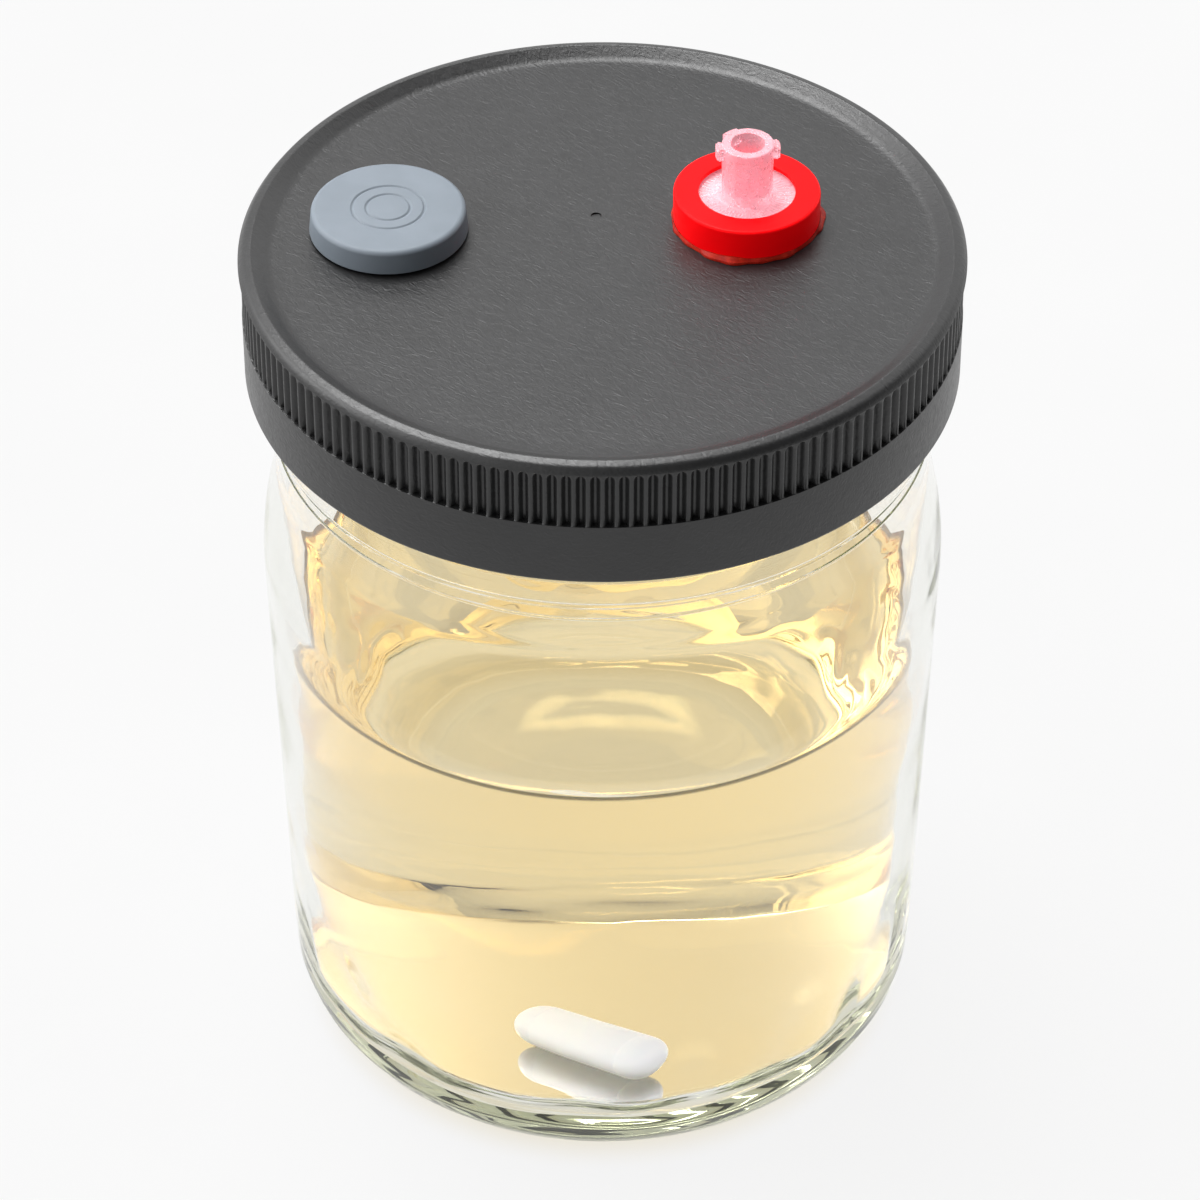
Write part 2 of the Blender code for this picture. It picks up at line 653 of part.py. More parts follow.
def make_filter_membrane(parent, material, place):
    """The filter membrane between the two halves."""
    radius = HALF_FLANGE_RADIUS - MEMBRANE_INSET
    top = MEMBRANE_LOW + MEMBRANE_THICKNESS
    corners = [
        (0, MEMBRANE_LOW, 0),
        (radius, MEMBRANE_LOW, 0),
        (radius, top, 0),
        (0, top, 0),
    ]
    add_object("filter_membrane", turn_solid(corners, LUER_SEGMENTS), parent, material, place)


def make_filter_outlet(parent, material, place):
    """The filter's lower half: a flange inside the ring and a tapered nozzle through the lid."""
    flange_top = OUTLET_LOW + HALF_FLANGE_THICKNESS
    corners = [
        (NOZZLE_BORE_RADIUS, -NOZZLE_REACH, 0),
        (NOZZLE_TIP_RADIUS, -NOZZLE_REACH, CONTACT_GAP),
        (NOZZLE_TIP_RADIUS + LUER_TAPER * NOZZLE_REACH, -NOZZLE_COLLAR_REACH, 0),
        (NOZZLE_COLLAR_RADIUS, -NOZZLE_COLLAR_REACH, CONTACT_GAP),
        (NOZZLE_COLLAR_RADIUS, OUTLET_LOW, 0),
        (HALF_FLANGE_RADIUS, OUTLET_LOW, 0),
        (HALF_FLANGE_RADIUS, flange_top, 0),
        (NOZZLE_BORE_RADIUS, flange_top, 0),
    ]
    add_object("filter_outlet", turn_solid(corners, LUER_SEGMENTS), parent, material, place)


def make_stir_bar(parent, jacket_material, magnet_material):
    """The stir bar along its parent's X axis: a sleeve, a domed plug in each end and the magnet inside."""
    bore = STIR_BAR_RADIUS - STIR_BAR_WALL
    core = bore - CONTACT_GAP
    shoulder = STIR_BAR_LENGTH / 2 - STIR_BAR_DOME_LENGTH
    sleeve_end = shoulder - CONTACT_GAP
    spigot_end = shoulder - STIR_BAR_SPIGOT - CONTACT_GAP
    magnet_end = spigot_end - CONTACT_GAP
    sleeve_corners = [
        (bore, -sleeve_end, 0),
        (STIR_BAR_RADIUS, -sleeve_end, 0),
        (STIR_BAR_RADIUS, sleeve_end, 0),
        (bore, sleeve_end, 0),
    ]
    sleeve = turn_solid(sleeve_corners, STIR_BAR_SEGMENTS, "X")
    add_object("stir_bar_sleeve", sleeve, parent, jacket_material)

    cap_corners = [
        (0, spigot_end, 0),
        (core, spigot_end, 0),
        (core, shoulder, 0),
        (STIR_BAR_RADIUS, shoulder, 0),
        (STIR_BAR_RADIUS, STIR_BAR_LENGTH / 2, STIR_BAR_DOME_LENGTH * 0.9),
        (0, STIR_BAR_LENGTH / 2, 0),
    ]
    for name, facing in (("stir_bar_right_cap", 0), ("stir_bar_left_cap", math.pi)):
        cap = add_object(name, turn_solid(cap_corners, STIR_BAR_SEGMENTS, "X"), parent, jacket_material)
        cap.rotation_euler = (0, 0, facing)

    magnet_corners = [
        (0, -magnet_end, 0),
        (core, -magnet_end, 0),
        (core, magnet_end, 0),
        (0, magnet_end, 0),
    ]
    add_object("stir_bar_magnet", turn_solid(magnet_corners, STIR_BAR_SEGMENTS, "X"), parent, magnet_material)


def build():
    """Make every piece of the jar."""
    clear_scene()
    jar_frame = make_empty("jar_frame", (0, 0, 0))
    seal_frame = make_empty("seal_frame", (0, 0, SEAL_Z), jar_frame)
    lid_frame = make_empty("lid_frame", (0, 0, PANEL_UNDER_Z - SEAL_Z), seal_frame)
    stir_bar_frame = make_empty("stir_bar_frame", (STIR_BAR_X, STIR_BAR_Y, STIR_BAR_Z), jar_frame)
    stir_bar_frame.rotation_euler = (0, 0, math.radians(STIR_BAR_YAW_DEG))

    glass = make_material("clear_glass", (246, 250, 248), 0.02, transmission=1.0, ior=1.52, alpha=0.35)
    broth = make_material("clear_broth", (235, 212, 150), 0.02, transmission=1.0, ior=1.34, alpha=0.6)
    lid_plastic = make_material("charcoal_plastic", (62, 62, 64), 0.45)
    silicone = make_material("white_silicone", (226, 226, 222), 0.5)
    port_rubber = make_material("grey_blue_rubber", (138, 150, 168), 0.55)
    red_plastic = make_material("red_plastic", (226, 18, 20), 0.35)
    clear_plastic = make_material("translucent_plastic", (244, 232, 232), 0.3, transmission=0.4, ior=1.49)
    membrane = make_material("white_membrane", (245, 245, 242), 0.8)
    sealant = make_material("red_sealant", (214, 52, 30), 0.4)
    jacket = make_material("white_fluoropolymer", (246, 246, 243), 0.35)
    magnet = make_material("magnet_metal", (70, 70, 74), 0.4, metallic=1.0)

    make_glass_jar(jar_frame, glass)
    make_culture_broth(jar_frame, broth)
    make_lid_gasket(seal_frame, silicone)
    make_lid_cap(lid_frame, lid_plastic)
    make_injection_port(lid_frame, port_rubber)
    filter_place = (FILTER_X, FILTER_Y, 0)
    make_filter_sealant(lid_frame, sealant, filter_place)
    make_filter_ring(lid_frame, red_plastic, filter_place)
    make_filter_outlet(lid_frame, clear_plastic, filter_place)
    make_filter_membrane(lid_frame, membrane, filter_place)
    make_filter_inlet(lid_frame, clear_plastic, filter_place)
    make_stir_bar(stir_bar_frame, jacket, magnet)


build()
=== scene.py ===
"""Looks of the liquid culture jar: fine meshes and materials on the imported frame, a pale floor, soft light.

Metres, +Z up, the front is -Y. Every piece rides on the body that its CAD node belongs to.
"""

import math

import bmesh
import bpy
from mathutils import Color, Matrix, Vector


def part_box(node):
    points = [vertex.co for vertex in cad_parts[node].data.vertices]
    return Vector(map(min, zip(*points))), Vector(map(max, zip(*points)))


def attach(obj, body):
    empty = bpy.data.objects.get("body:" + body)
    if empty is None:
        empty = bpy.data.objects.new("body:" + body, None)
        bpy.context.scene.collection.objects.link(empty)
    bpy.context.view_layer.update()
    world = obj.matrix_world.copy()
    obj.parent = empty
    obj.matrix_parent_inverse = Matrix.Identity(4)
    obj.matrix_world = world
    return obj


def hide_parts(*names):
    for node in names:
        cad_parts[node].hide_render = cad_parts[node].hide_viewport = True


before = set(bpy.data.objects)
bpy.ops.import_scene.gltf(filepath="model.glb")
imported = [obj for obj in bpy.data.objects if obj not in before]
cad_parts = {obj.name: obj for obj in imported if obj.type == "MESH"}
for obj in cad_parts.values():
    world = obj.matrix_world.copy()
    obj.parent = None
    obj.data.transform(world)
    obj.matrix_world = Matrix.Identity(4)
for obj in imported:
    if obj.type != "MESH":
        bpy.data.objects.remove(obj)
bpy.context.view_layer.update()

# Camera, from the photograph's perspective
CAMERA_PLACE = (0, -0.5366, 0.5145)
CAMERA_TILT_DEG = 50.05
CAMERA_LENS_MM = 157.59
CAMERA_SENSOR_MM = 36
CAMERA_CLIP = (0.01, 50)
PHOTO_WIDTH_PX = 1200
AXIS_OFFSET_PX = 2.5

# Studio. Surfaces and clear things see it in strengths of their own, each from the front to the back.
SURFACE_EDGES = (-0.15, 0.62)
SURFACE_STRENGTHS = (0.12, 1.08)
THROUGH_EDGES = (-0.42, 0.50)
THROUGH_STRENGTHS = (1.05, 0.97)
BOX_DIRECTION = (-0.20, 0.33, 0.92)
BOX_STRENGTH = 12.5
BOX_EDGES_DEG = (20, 14)

# Soft lights of the studio: (direction, strength, sharpness)
SIDE_LIGHT = ((-0.84, 0.12, 0.53), 6, 12)
FILL_LIGHT = ((-0.72, -0.62, 0.30), 1.3, 4)
CORNER_LIGHT = ((0.62, 0.55, 0.56), 0.9, 12)

# Floor, with a painted ring of warm light round the jar, whose start and peak are shares of its reach
FLOOR_SIZE = 8
FLOOR_SHADES = ((0.034, 0.034, 0.034, 1), (0.038, 0.038, 0.038, 1))
FLOOR_SHADE = (0.036, 0.036, 0.036, 1)
FLOOR_GLOW = 0.88
FLOOR_PAINTED_WARM_LIGHT = (0.90, 0.84, 0.70, 1.0)
WHITE = (1, 1, 1, 1)
PAINTED_LIGHT_REACH = 0.0425
PAINTED_LIGHT_START = 0.62
PAINTED_LIGHT_PEAK = 0.80

# Fineness of the meshes
ARC_STEP_DEG = 9
LARGE_ARC_STEP_DEG = 4
LARGE_ROUND = 0.004
SIDE_SHARE = 0.96
JAR_SEGMENTS = 288
LID_SEGMENTS = 656
RIB_COLUMNS = 16
FITTING_SEGMENTS = 144
STIR_BAR_SEGMENTS = 64
ARCH_ROWS = 8
LUG_STEPS = 6
SHARP_DEG = 35
LID_SHARP_DEG = 50
LONGEST_STRETCHES = {"finish": 0.0003, "bore": 0.0003, "disc": 0.0006, "tube": 0.001, "grip": 0.0025}
LONGEST_STRETCHES |= dict.fromkeys(("inside", "outside", "wet", "foot", "panel", "band"), 0.002)
LONGEST_STRETCHES |= dict.fromkeys(("base", "top", "under"), 0.004)

# Fits between pieces
CONTACT_GAP = 0.0003
FILM_GAP = 0.00005

# Glass jar
BODY_FOOT_RADIUS = 0.0426
BODY_SHOULDER_RADIUS = 0.04474
GLASS_WALL = 0.0030
FLOOR_THICKNESS = 0.0052
HEEL_ROUND = 0.0105
FLOOR_CORNER_ROUND = 0.0070
FLOOR_EDGE_RADIUS = 0.0290
FLOOR_EDGE_ROUND = 0.0012
FLOOR_RIM_RISE = 0.0031
BEARING_RING_WIDTH = 0.0042
PUSH_UP_HEIGHT = 0.0018
PUSH_UP_SLOPE = 0.0140
PUSH_UP_ROUND = 0.0800
SHOULDER_DROP = 0.0385
SHOULDER_ROUND = 0.0550
NECK_DROP = 0.0275
NECK_RADIUS = 0.0423
NECK_ROUND = 0.0120
LIP_ROUND = 0.0011
BEAD_RADIUS = 0.0431
BEAD_DROP = 0.0146
BEAD_HEIGHT = 0.0039
BEAD_ROUND = 0.0009
BEAD_ROOT_ROUND = 0.0004
SEAM_DROP = 0.0197
SEAM_SIZE = 0.00015
NECK_RING_DROP = 0.0214
NECK_RING_SIZE = 0.0003
FINISH_RADIUS = 0.0412
FINISH_WALL = 0.0032
MOUTH_RADIUS = FINISH_RADIUS - FINISH_WALL

# Ripples of the glass. A slant is (share, count round the jar, phase, climb for each metre of height).
# A ring is (share, climb for each metre or width, sways), and a sway is (size, count round the jar, phase).
WALL_RIPPLE = 0.00007
WALL_SLANTS = ((1.0, 2, 0.7, 22), (0.6, 5, -1.9, -61), (0.35, 9, 2.4, 97))
WALL_RINGS = ((0.5, 230, ((1.3, 1, 0.4),)),)
STILL_BAND = 0.0040
CORNER_RIPPLE = 0.00025
CORNER_RIPPLE_HEIGHT = 0.0260
CORNER_SLANTS = ((1.0, 11, 0.9, 260), (0.7, 19, -2.1, -170))
BOWL_RIPPLE = 0.00020
BOWL_RINGS = ((1.0, 13, ((2.2, 3, 0.5), (1.3, 7, 0))), (0.7, 23, ((-1.8, 5, 1.0), (1.1, 11, 0))))
HEEL_RIPPLE = 0.00005
HEEL_RIPPLE_HEIGHT = 0.0168
HEEL_RINGS = ((1.0, 2300, ((2.0, 2, 0), (1.4, 5, 1.0))), (0.8, 1300, ((-2.4, 3, 2.0),)))
HEEL_RING_PEAK = 1.8

# Screw thread shared by jar and lid. Its widths are those of the base and the crest.
THREAD_PITCH = 0.00635
THREAD_DEPTH = 0.0015
THREAD_RADIAL_CLEARANCE = 0.00035
THREAD_FLANK_GAP = 0.0003
THREAD_RUN_OUT_DEG = 28
JAR_THREAD_WIDTHS = (0.0030, 0.0012)
JAR_THREAD_TOP_DROP = 0.0031
JAR_THREAD_TOP_DEG = 250
JAR_THREAD_SWEEP_DEG = 400
LID_THREAD_WIDTHS = (0.0024, 0.0010)
LID_THREAD_EDGE_RISE = 0.0022
LID_THREAD_SWEEP_DEG = 380

# Screw lid
PANEL_THICKNESS = 0.0020
RIM_HEIGHT = 0.0012
RIM_WIDTH = 0.0017
ROLL_SLOPE_HEIGHT = 0.0012
ROLL_TOP_DROP = 0.00035
ROLL_TOP_INSET = 0.0006
ROLL_ROUND = 0.0010
CREST_ROUND = 0.0004
RIM_FOOT_ROUND = 0.0025
PANEL_INSET = 0.00375
RIB_COUNT = 164
RIB_DEPTH = 0.0008
RIB_TOP_DROP = 0.0015
RIB_LENGTH = 0.0078
RIB_ARCH = 0.0009
RIB_ARCH_DEPTH_SHARE = 0.35
RIB_FLAT_SHARE = 0.12
RIB_GROOVE_SHARE = 0.10
RIB_BOTTOM_STEP = 0.00006
BAND_PROUD = 0.0001
ROLL_OVERHANG = 0.0002
LID_EDGE_ROUND = 0.0006
LOCATING_RING_WALL = 0.0013
LOCATING_RING_HEIGHT = 0.0017
LID_BORE_RADIUS = FINISH_RADIUS + THREAD_DEPTH + THREAD_RADIAL_CLEARANCE
GASKET_OVERREACH = 0.0004
GASKET_EDGE_ROUND = 0.0002
GATE_PLACE = (-0.0008, 0.0072)
GATE_RADIUS = 0.0007
GATE_DEPTH = 0.0002

# Injection port
PORT_FLANGE_RADIUS = 0.0101
PORT_FLANGE_DRAFT = 0.0003
PORT_EDGE_ROUND = 0.0007
PORT_NECK_RADIUS = 0.0062
PORT_BARB_RADIUS = 0.0077
PORT_WELL_RADIUS = 0.0042
PORT_WELL_DEPTH = 0.0020
PORT_GROOVE_WIDTH = 0.0005
PORT_GROOVE_DEPTH = 0.0002
PORT_GROOVE_RADII = (0.0028, 0.0046)

# Syringe filter and its bead of sealant
SEALANT_GAP = CONTACT_GAP / 6
SEALANT_WIDTH = 0.0007
SEALANT_EDGE_HEIGHT = 0.00036
SEALANT_SWELL = 0.36
SEALANT_SWAYS = ((0.30, 3, 0.6), (0.18, 7, 2.1), (0.12, 17, 0))
SEALANT_THINNEST = 0.10
SEALANT_LOWEST = 0.6
RING_RADIUS = 0.00935
RING_OPENING_RADIUS = 0.00615
RING_WALL = 0.0011
RING_LIP_LOW = 0.0012
RING_LIP_TOP = 0.0005
RING_EDGE_ROUND = 0.0004
HALF_FLANGE_THICKNESS = 0.0006
DISC_RIDGES = 60
DISC_RIDGE_HEIGHT = 0.00005
DISC_RIDGE_SWAYS = ((1.7, 3, 0),)
LUER_HEIGHT = 0.0080
LUER_RADIUS = 0.0032
LUER_FLARE = 0.0001
LUER_ROOT_ROUND = 0.0004
LUER_MOUTH_RADIUS = 0.00215
LUER_CONE_DEPTH = 0.0072
LUER_TAPER = 0.03
LUER_DRILLING_RADIUS = 0.0010
LUER_FACETS = 12
LUER_FACET_SHARE = 0.5
LUG_SPAN_RADIUS = 0.0041
LUG_HEIGHT = 0.0017
LUG_WIDTH = 0.0026
LUG_DROP = 0.0003
LUG_ROOT_SINK = 0.0004
LUG_EDGE_ROUND = 0.00025
LUG_SHARP_DEG = 40
LUG_BEARINGS_DEG = (5, 185, 125)
NOZZLE_COLLAR_RADIUS = 0.0028
NOZZLE_COLLAR_REACH = 0.0012
NOZZLE_TIP_RADIUS = 0.0020
NOZZLE_BORE_RADIUS = 0.0010

# Broth and stir bar
MENISCUS_RISE = 0.0026
CAPILLARY_LENGTH = 0.0027
MENISCUS_POINTS = 32
STIR_BAR_YAW_DEG = -44
STIR_BAR_LENGTH = 0.0187
STIR_BAR_RADIUS = 0.00345
STIR_BAR_DOME_LENGTH = 0.0030
STIR_BAR_END_ROUND = 0.00276
STIR_BAR_SEAM_DEPTH = 0.00008
STIR_BAR_SEAM_WIDTH = 0.0003

# Materials. Each pair is what the noise changes between, and each colour is linear.
NOISE_EDGES = (0.3, 0.7)
NOISE_COLOUR_EDGES = (0.35, 0.65)
GLASS_IOR = 1.52
GLASS_TINT = (0.80, 0.81, 0.72, 1.0)
GLASS_DENSITY = 50
GLASS_RELIEF = 0.0004
BROTH_IOR = 1.34
BROTH_TINT = (0.92, 0.72, 0.12, 1.0)
BROTH_DENSITY = 10
BROTH_RELIEF = 0.0001
BROTH_FILM = (0.985, 0.94, 0.82, 1.0)
# Painted shade: the dark golden line of the broth's edge at the glass
BROTH_PAINTED_SHADE = (0.05, 0.036, 0.004, 1.0)
PAINTED_SHADE_HEIGHT = 0.00045
LID_SHADES = ((0.0078, 0.0078, 0.0081, 1), (0.0102, 0.0102, 0.0106, 1))
LID_ROUGHNESS = (0.33, 0.42)
# Painted light: the lid's downward faces under the panel are painted lighter than the charcoal plastic
UNDERSIDE_PAINTED_LIGHT = (0.34, 0.32, 0.28, 1.0)
WRINKLE_SIZE = 0.0006
WRINKLE_STRETCH = (1.0, 2.4, 1.3)
WRINKLE_TURN_DEG = 50
PORT_SHADES = ((0.143, 0.168, 0.195, 1), (0.156, 0.182, 0.211, 1))
PORT_ROUGHNESS = (0.48, 0.60)
RING_SHADES = ((0.80, 0.0006, 0.002, 1), (0.88, 0.0010, 0.003, 1))
RING_ROUGHNESS = (0.32, 0.44)
# Painted glow of the red ring: emission, though it is no lamp
RING_PAINTED_GLOW = 0.12
RING_PAINTED_GLOW_TINT = (1.0, 0.0, 0.004, 1.0)
SEALANT_SHADES = ((0.26, 0.006, 0.003, 1), (0.46, 0.022, 0.008, 1))
FILTER_SHADES = ((0.84, 0.52, 0.57, 1), (0.88, 0.62, 0.67, 1))
FILTER_ROUGHNESS = (0.22, 0.36)
# Painted glow of the filter's plastic: emission, though it is no lamp
FILTER_PAINTED_GLOW = 0.12
FILTER_PAINTED_GLOW_TINT = (1.0, 0.42, 0.50, 1.0)
JACKET_SHADES = ((0.78, 0.83, 0.93, 1), (0.82, 0.87, 0.96, 1))
# Painted glow of the stir bar's upper side: emission, though it is no lamp
JACKET_PAINTED_GLOW = 0.90
JACKET_PAINTED_GLOW_TINT = (0.62, 0.69, 0.98, 1.0)

# Plain materials, with channels of 0 to 255
SILICONE_SHADES = ((226, 226, 222), (236, 236, 233))
MEMBRANE_SHADES = ((240, 240, 236), (250, 250, 248))
MAGNET_SHADES = ((64, 64, 68), (80, 80, 84))

# Heights taken from the frame
LIP_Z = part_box("glass_jar")[1].z
LEVEL_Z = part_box("culture_broth")[1].z
LID_LOW_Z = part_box("lid_cap")[0].z
CREST_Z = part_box("lid_cap")[1].z
ROLL_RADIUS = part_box("lid_cap")[1].x
CONTACT_Z = LEVEL_Z - CONTACT_GAP
FLAT_Z = CONTACT_Z - MENISCUS_RISE
SHOULDER_Z = LIP_Z - SHOULDER_DROP
NECK_Z = LIP_Z - NECK_DROP
BEAD_TOP_Z = LIP_Z - BEAD_DROP
BEAD_LOW_Z = BEAD_TOP_Z - BEAD_HEIGHT
NECK_RING_Z = LIP_Z - NECK_RING_DROP
SEAM_Z = LIP_Z - SEAM_DROP
PANEL_TOP_Z = CREST_Z - RIM_HEIGHT
PANEL_UNDER_Z = PANEL_TOP_Z - PANEL_THICKNESS
RIB_TOP_Z = CREST_Z - RIB_TOP_DROP
RIB_LOW_Z = RIB_TOP_Z - RIB_LENGTH
BAND_RADIUS = ROLL_RADIUS - ROLL_OVERHANG
RIB_CREST_RADIUS = BAND_RADIUS - BAND_PROUD


def middle_of(node):
    """The middle of a CAD node's box."""
    low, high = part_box(node)
    return (low + high) / 2


def ground_below(node):
    """The place on the ground below the middle of a CAD node's box."""
    middle = middle_of(node)
    return (middle.x, middle.y, 0)


def colour(red, green, blue):
    """A linear shader colour from channels of 0 to 255."""
    return (*Color((red / 255, green / 255, blue / 255)).from_srgb_to_scene_linear(), 1.0)


# Outlines and turned meshes


def arc_outline(corners):
    """Points of (radius, height, side) from corners of (radius, height, round, side).

    A corner with a round becomes an arc. The side, which may be left out, is a word that its points keep.
    """
    outline = []
    count = len(corners)
    for index, (x, z, fillet, *words) in enumerate(corners):
        side = words[0] if words else ""
        if fillet == 0:
            outline.append((x, z, side))
            continue
        before = corners[index - 1]
        after = corners[(index + 1) % count]
        to_before = Vector((before[0] - x, before[1] - z))
        to_after = Vector((after[0] - x, after[1] - z))
        half_angle = to_before.angle(to_after) / 2
        room_before = to_before.length * (SIDE_SHARE if before[2] == 0 else SIDE_SHARE / 2)
        room_after = to_after.length * (SIDE_SHARE if after[2] == 0 else SIDE_SHARE / 2)
        tangent = min(fillet / math.tan(half_angle), room_before, room_after)
        radius = tangent * math.tan(half_angle)
        corner = Vector((x, z))
        middle = (to_before.normalized() + to_after.normalized()).normalized()
        centre = corner + middle * radius / math.sin(half_angle)
        start = corner + to_before.normalized() * tangent - centre
        end = corner + to_after.normalized() * tangent - centre
        first = math.atan2(start.y, start.x)
        turn = math.atan2(end.y, end.x) - first
        turn = (turn + math.pi) % (2 * math.pi) - math.pi
        step_deg = LARGE_ARC_STEP_DEG if fillet > LARGE_ROUND else ARC_STEP_DEG
        steps = max(3, round(abs(math.degrees(turn)) / step_deg))
        for step in range(steps + 1):
            angle = first + turn * step / steps
            outline.append((centre.x + radius * math.cos(angle), centre.y + radius * math.sin(angle), side))
    return outline


def fill_outline(outline):
    """Add points along the straight stretches of the sides that have a longest stretch."""
    filled = []
    for index, (x, z, side) in enumerate(outline):
        filled.append((x, z, side))
        next_x, next_z, next_side = outline[(index + 1) % len(outline)]
        if side != next_side or side not in LONGEST_STRETCHES:
            continue
        parts = math.ceil(math.hypot(next_x - x, next_z - z) / LONGEST_STRETCHES[side])
        for part in range(1, parts):
            share = part / parts
            filled.append((x + (next_x - x) * share, z + (next_z - z) * share, side))
    return filled


def join_rings(low, high):
    """Faces between two rings of vertices, one of which may have a multiple of the other's count."""
    if len(low) == 1 and len(high) == 1:
        return []
    if len(low) == 1 or len(high) == 1:
        tip, ring = (low[0], high) if len(low) == 1 else (high[0], low)
        return [(tip, ring[i], ring[(i + 1) % len(ring)]) for i in range(len(ring))]
    if len(low) == len(high):
        count = len(low)
        return [(low[i], low[(i + 1) % count], high[(i + 1) % count], high[i]) for i in range(count)]
    coarse, fine = (low, high) if len(low) < len(high) else (high, low)
    ratio = len(fine) // len(coarse)
    faces = []
    for cell, corner in enumerate(coarse):
        following = coarse[(cell + 1) % len(coarse)]
        half = ratio // 2
        for part in range(ratio):
            start = fine[cell * ratio + part]
            end = fine[(cell * ratio + part + 1) % len(fine)]
            faces.append((corner if part < half else following, start, end))
        faces.append((corner, fine[cell * ratio + half], following))
    return faces


def turned_mesh(corners, segments, surface=None, grip_segments=None, axis="Z"):
    """A closed mesh of revolution. A surface function may shift each point. A grip has its own segments."""
    outline = fill_outline(arc_outline(corners))
    points = []
    rings = []
    for radius, height, side in outline:
        count = 1 if radius == 0 else grip_segments if side == "grip" else segments
        rings.append(list(range(len(points), len(points) + count)))
        for step in range(count):
            angle = 2 * math.pi * step / count
            x, z = surface(radius, height, angle, side) if surface else (radius, height)
            if radius == 0:
                x = 0
            points.append((x * math.cos(angle), x * math.sin(angle), z))
    if axis == "X":
        points = [(z, x, y) for x, y, z in points]
    faces = []
    for index, ring in enumerate(rings):
        faces += join_rings(ring, rings[(index + 1) % len(rings)])
    mesh = bpy.data.meshes.new("turned")
    mesh.from_pydata(points, [], faces)
    bm = bmesh.new()
    bm.from_mesh(mesh)
    bmesh.ops.recalc_face_normals(bm, faces=bm.faces)
    bm.to_mesh(mesh)
    bm.free()
    return mesh


def add_piece(name, mesh, material, body, node_names, place=(0, 0, 0), turn=0, sharp_deg=SHARP_DEG):
    """Put a mesh in the scene at its place, ride it on its body and let it stand for its CAD nodes."""
    mesh.name = name
    mesh.materials.append(material)
    mesh.shade_smooth()
    mesh.set_sharp_from_angle(angle=math.radians(sharp_deg))
    piece = bpy.data.objects.new(name, mesh)
    piece.location = place
    piece.rotation_euler = (0, 0, turn)
    bpy.context.scene.collection.objects.link(piece)
    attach(piece, body)
    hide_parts(*node_names)


def apply_boolean(target_mesh, tool_meshes, operation):
    """The target mesh after joining or cutting it with each tool mesh in turn."""
    target = bpy.data.objects.new("boolean_target", target_mesh)
    bpy.context.scene.collection.objects.link(target)
    tools = []
    for number, tool_mesh in enumerate(tool_meshes):
        tool = bpy.data.objects.new(f"boolean_tool_{number}", tool_mesh)
        bpy.context.scene.collection.objects.link(tool)
        modifier = target.modifiers.new(tool.name, "BOOLEAN")
        modifier.operation = operation
        modifier.solver = "MANIFOLD"
        modifier.object = tool
        tools.append(tool)
    bpy.context.view_layer.update()
    evaluated = target.evaluated_get(bpy.context.evaluated_depsgraph_get())
    result = bpy.data.meshes.new_from_object(evaluated)
    result.materials.clear()
    for leftover in (target, *tools):
        bpy.data.objects.remove(leftover)
    return result


# Shapes that repeat


def body_radius_at(height):
    """Outer radius of the jar's straight, slightly tapered body at a height."""
    return BODY_FOOT_RADIUS + (BODY_SHOULDER_RADIUS - BODY_FOOT_RADIUS) * height / SHOULDER_Z


def sway(sways, angle):
    """The sum of waves that run round the axis."""
    return sum(size * math.sin(count * angle + phase) for size, count, phase in sways)


def add_slants(slants, angle, height):
    """The sum of waves that run aslant up the wall."""
    total = 0.0
    for share, count, phase, climb in slants:
        total += share * math.cos(count * angle + phase + climb * height)
    return total


def add_rings(rings, angle, place):
    """The sum of rings that sway as they run round."""
    return sum(share * math.cos(climb * place + sway(sways, angle)) for share, climb, sways in rings)


def wall_ripple(angle, height):
    """Slight unevenness of the jar's inner wall, with a still band where the broth ends."""
    wall = add_slants(WALL_SLANTS, angle, height) + add_rings(WALL_RINGS, angle, height)
    stillness = math.exp(-((height - CONTACT_Z) / STILL_BAND) ** 2)
    above_floor = min(1.0, max(0.0, (height - FLOOR_THICKNESS) / CORNER_RIPPLE_HEIGHT))
    low_down = math.sin(math.pi * math.sqrt(above_floor)) ** 2
    corner = add_slants(CORNER_SLANTS, angle, height)
    return WALL_RIPPLE * wall * (1 - stillness) + CORNER_RIPPLE * low_down * corner


def bowl_ripple(angle, radius):
    """Slow waves that run round the floor's rising rim, as the plunger of a glass mould leaves them."""
    across = (radius - FLOOR_EDGE_RADIUS) / (BODY_FOOT_RADIUS - GLASS_WALL - FLOOR_EDGE_RADIUS)
    if not 0 < across < 1:
        return 0.0
    return BOWL_RIPPLE * math.sin(math.pi * across) * add_rings(BOWL_RINGS, angle, across)


def heel_ripple(angle, height):
    """Shallow rings and dimples round the heel. They only lie inside its outline."""
    if height > HEEL_RIPPLE_HEIGHT:
        return 0.0
    strength = HEEL_RIPPLE * math.sin(math.pi * height / HEEL_RIPPLE_HEIGHT)
    return strength * (add_rings(HEEL_RINGS, angle, height) - HEEL_RING_PEAK)


def thread_height(angle_deg):
    """Height of the middle of the jar's thread at an angle, counted on round the axis."""
    return LIP_Z - JAR_THREAD_TOP_DROP + THREAD_PITCH * (angle_deg - JAR_THREAD_TOP_DEG) / 360


def thread_rise(angle, height, start_deg, sweep_deg, widths, shift):
    """How far a thread stands out of its wall at a point, which may lie on any of its turns."""
    base_width, crest_width = widths
    most = 0.0
    for turn in range(-2, 5):
        angle_deg = math.degrees(angle) + 360 * turn
        from_end = min(angle_deg - start_deg, start_deg + sweep_deg - angle_deg)
        if from_end <= 0:
            continue
        growth = min(1.0, from_end / THREAD_RUN_OUT_DEG)
        off_middle = abs(height - thread_height(angle_deg) - shift)
        flank = (base_width / 2 - off_middle) / (base_width / 2 - crest_width / 2)
        most = max(most, min(1.0, flank) * growth)
    return THREAD_DEPTH * max(0.0, most)


# Glass jar and broth


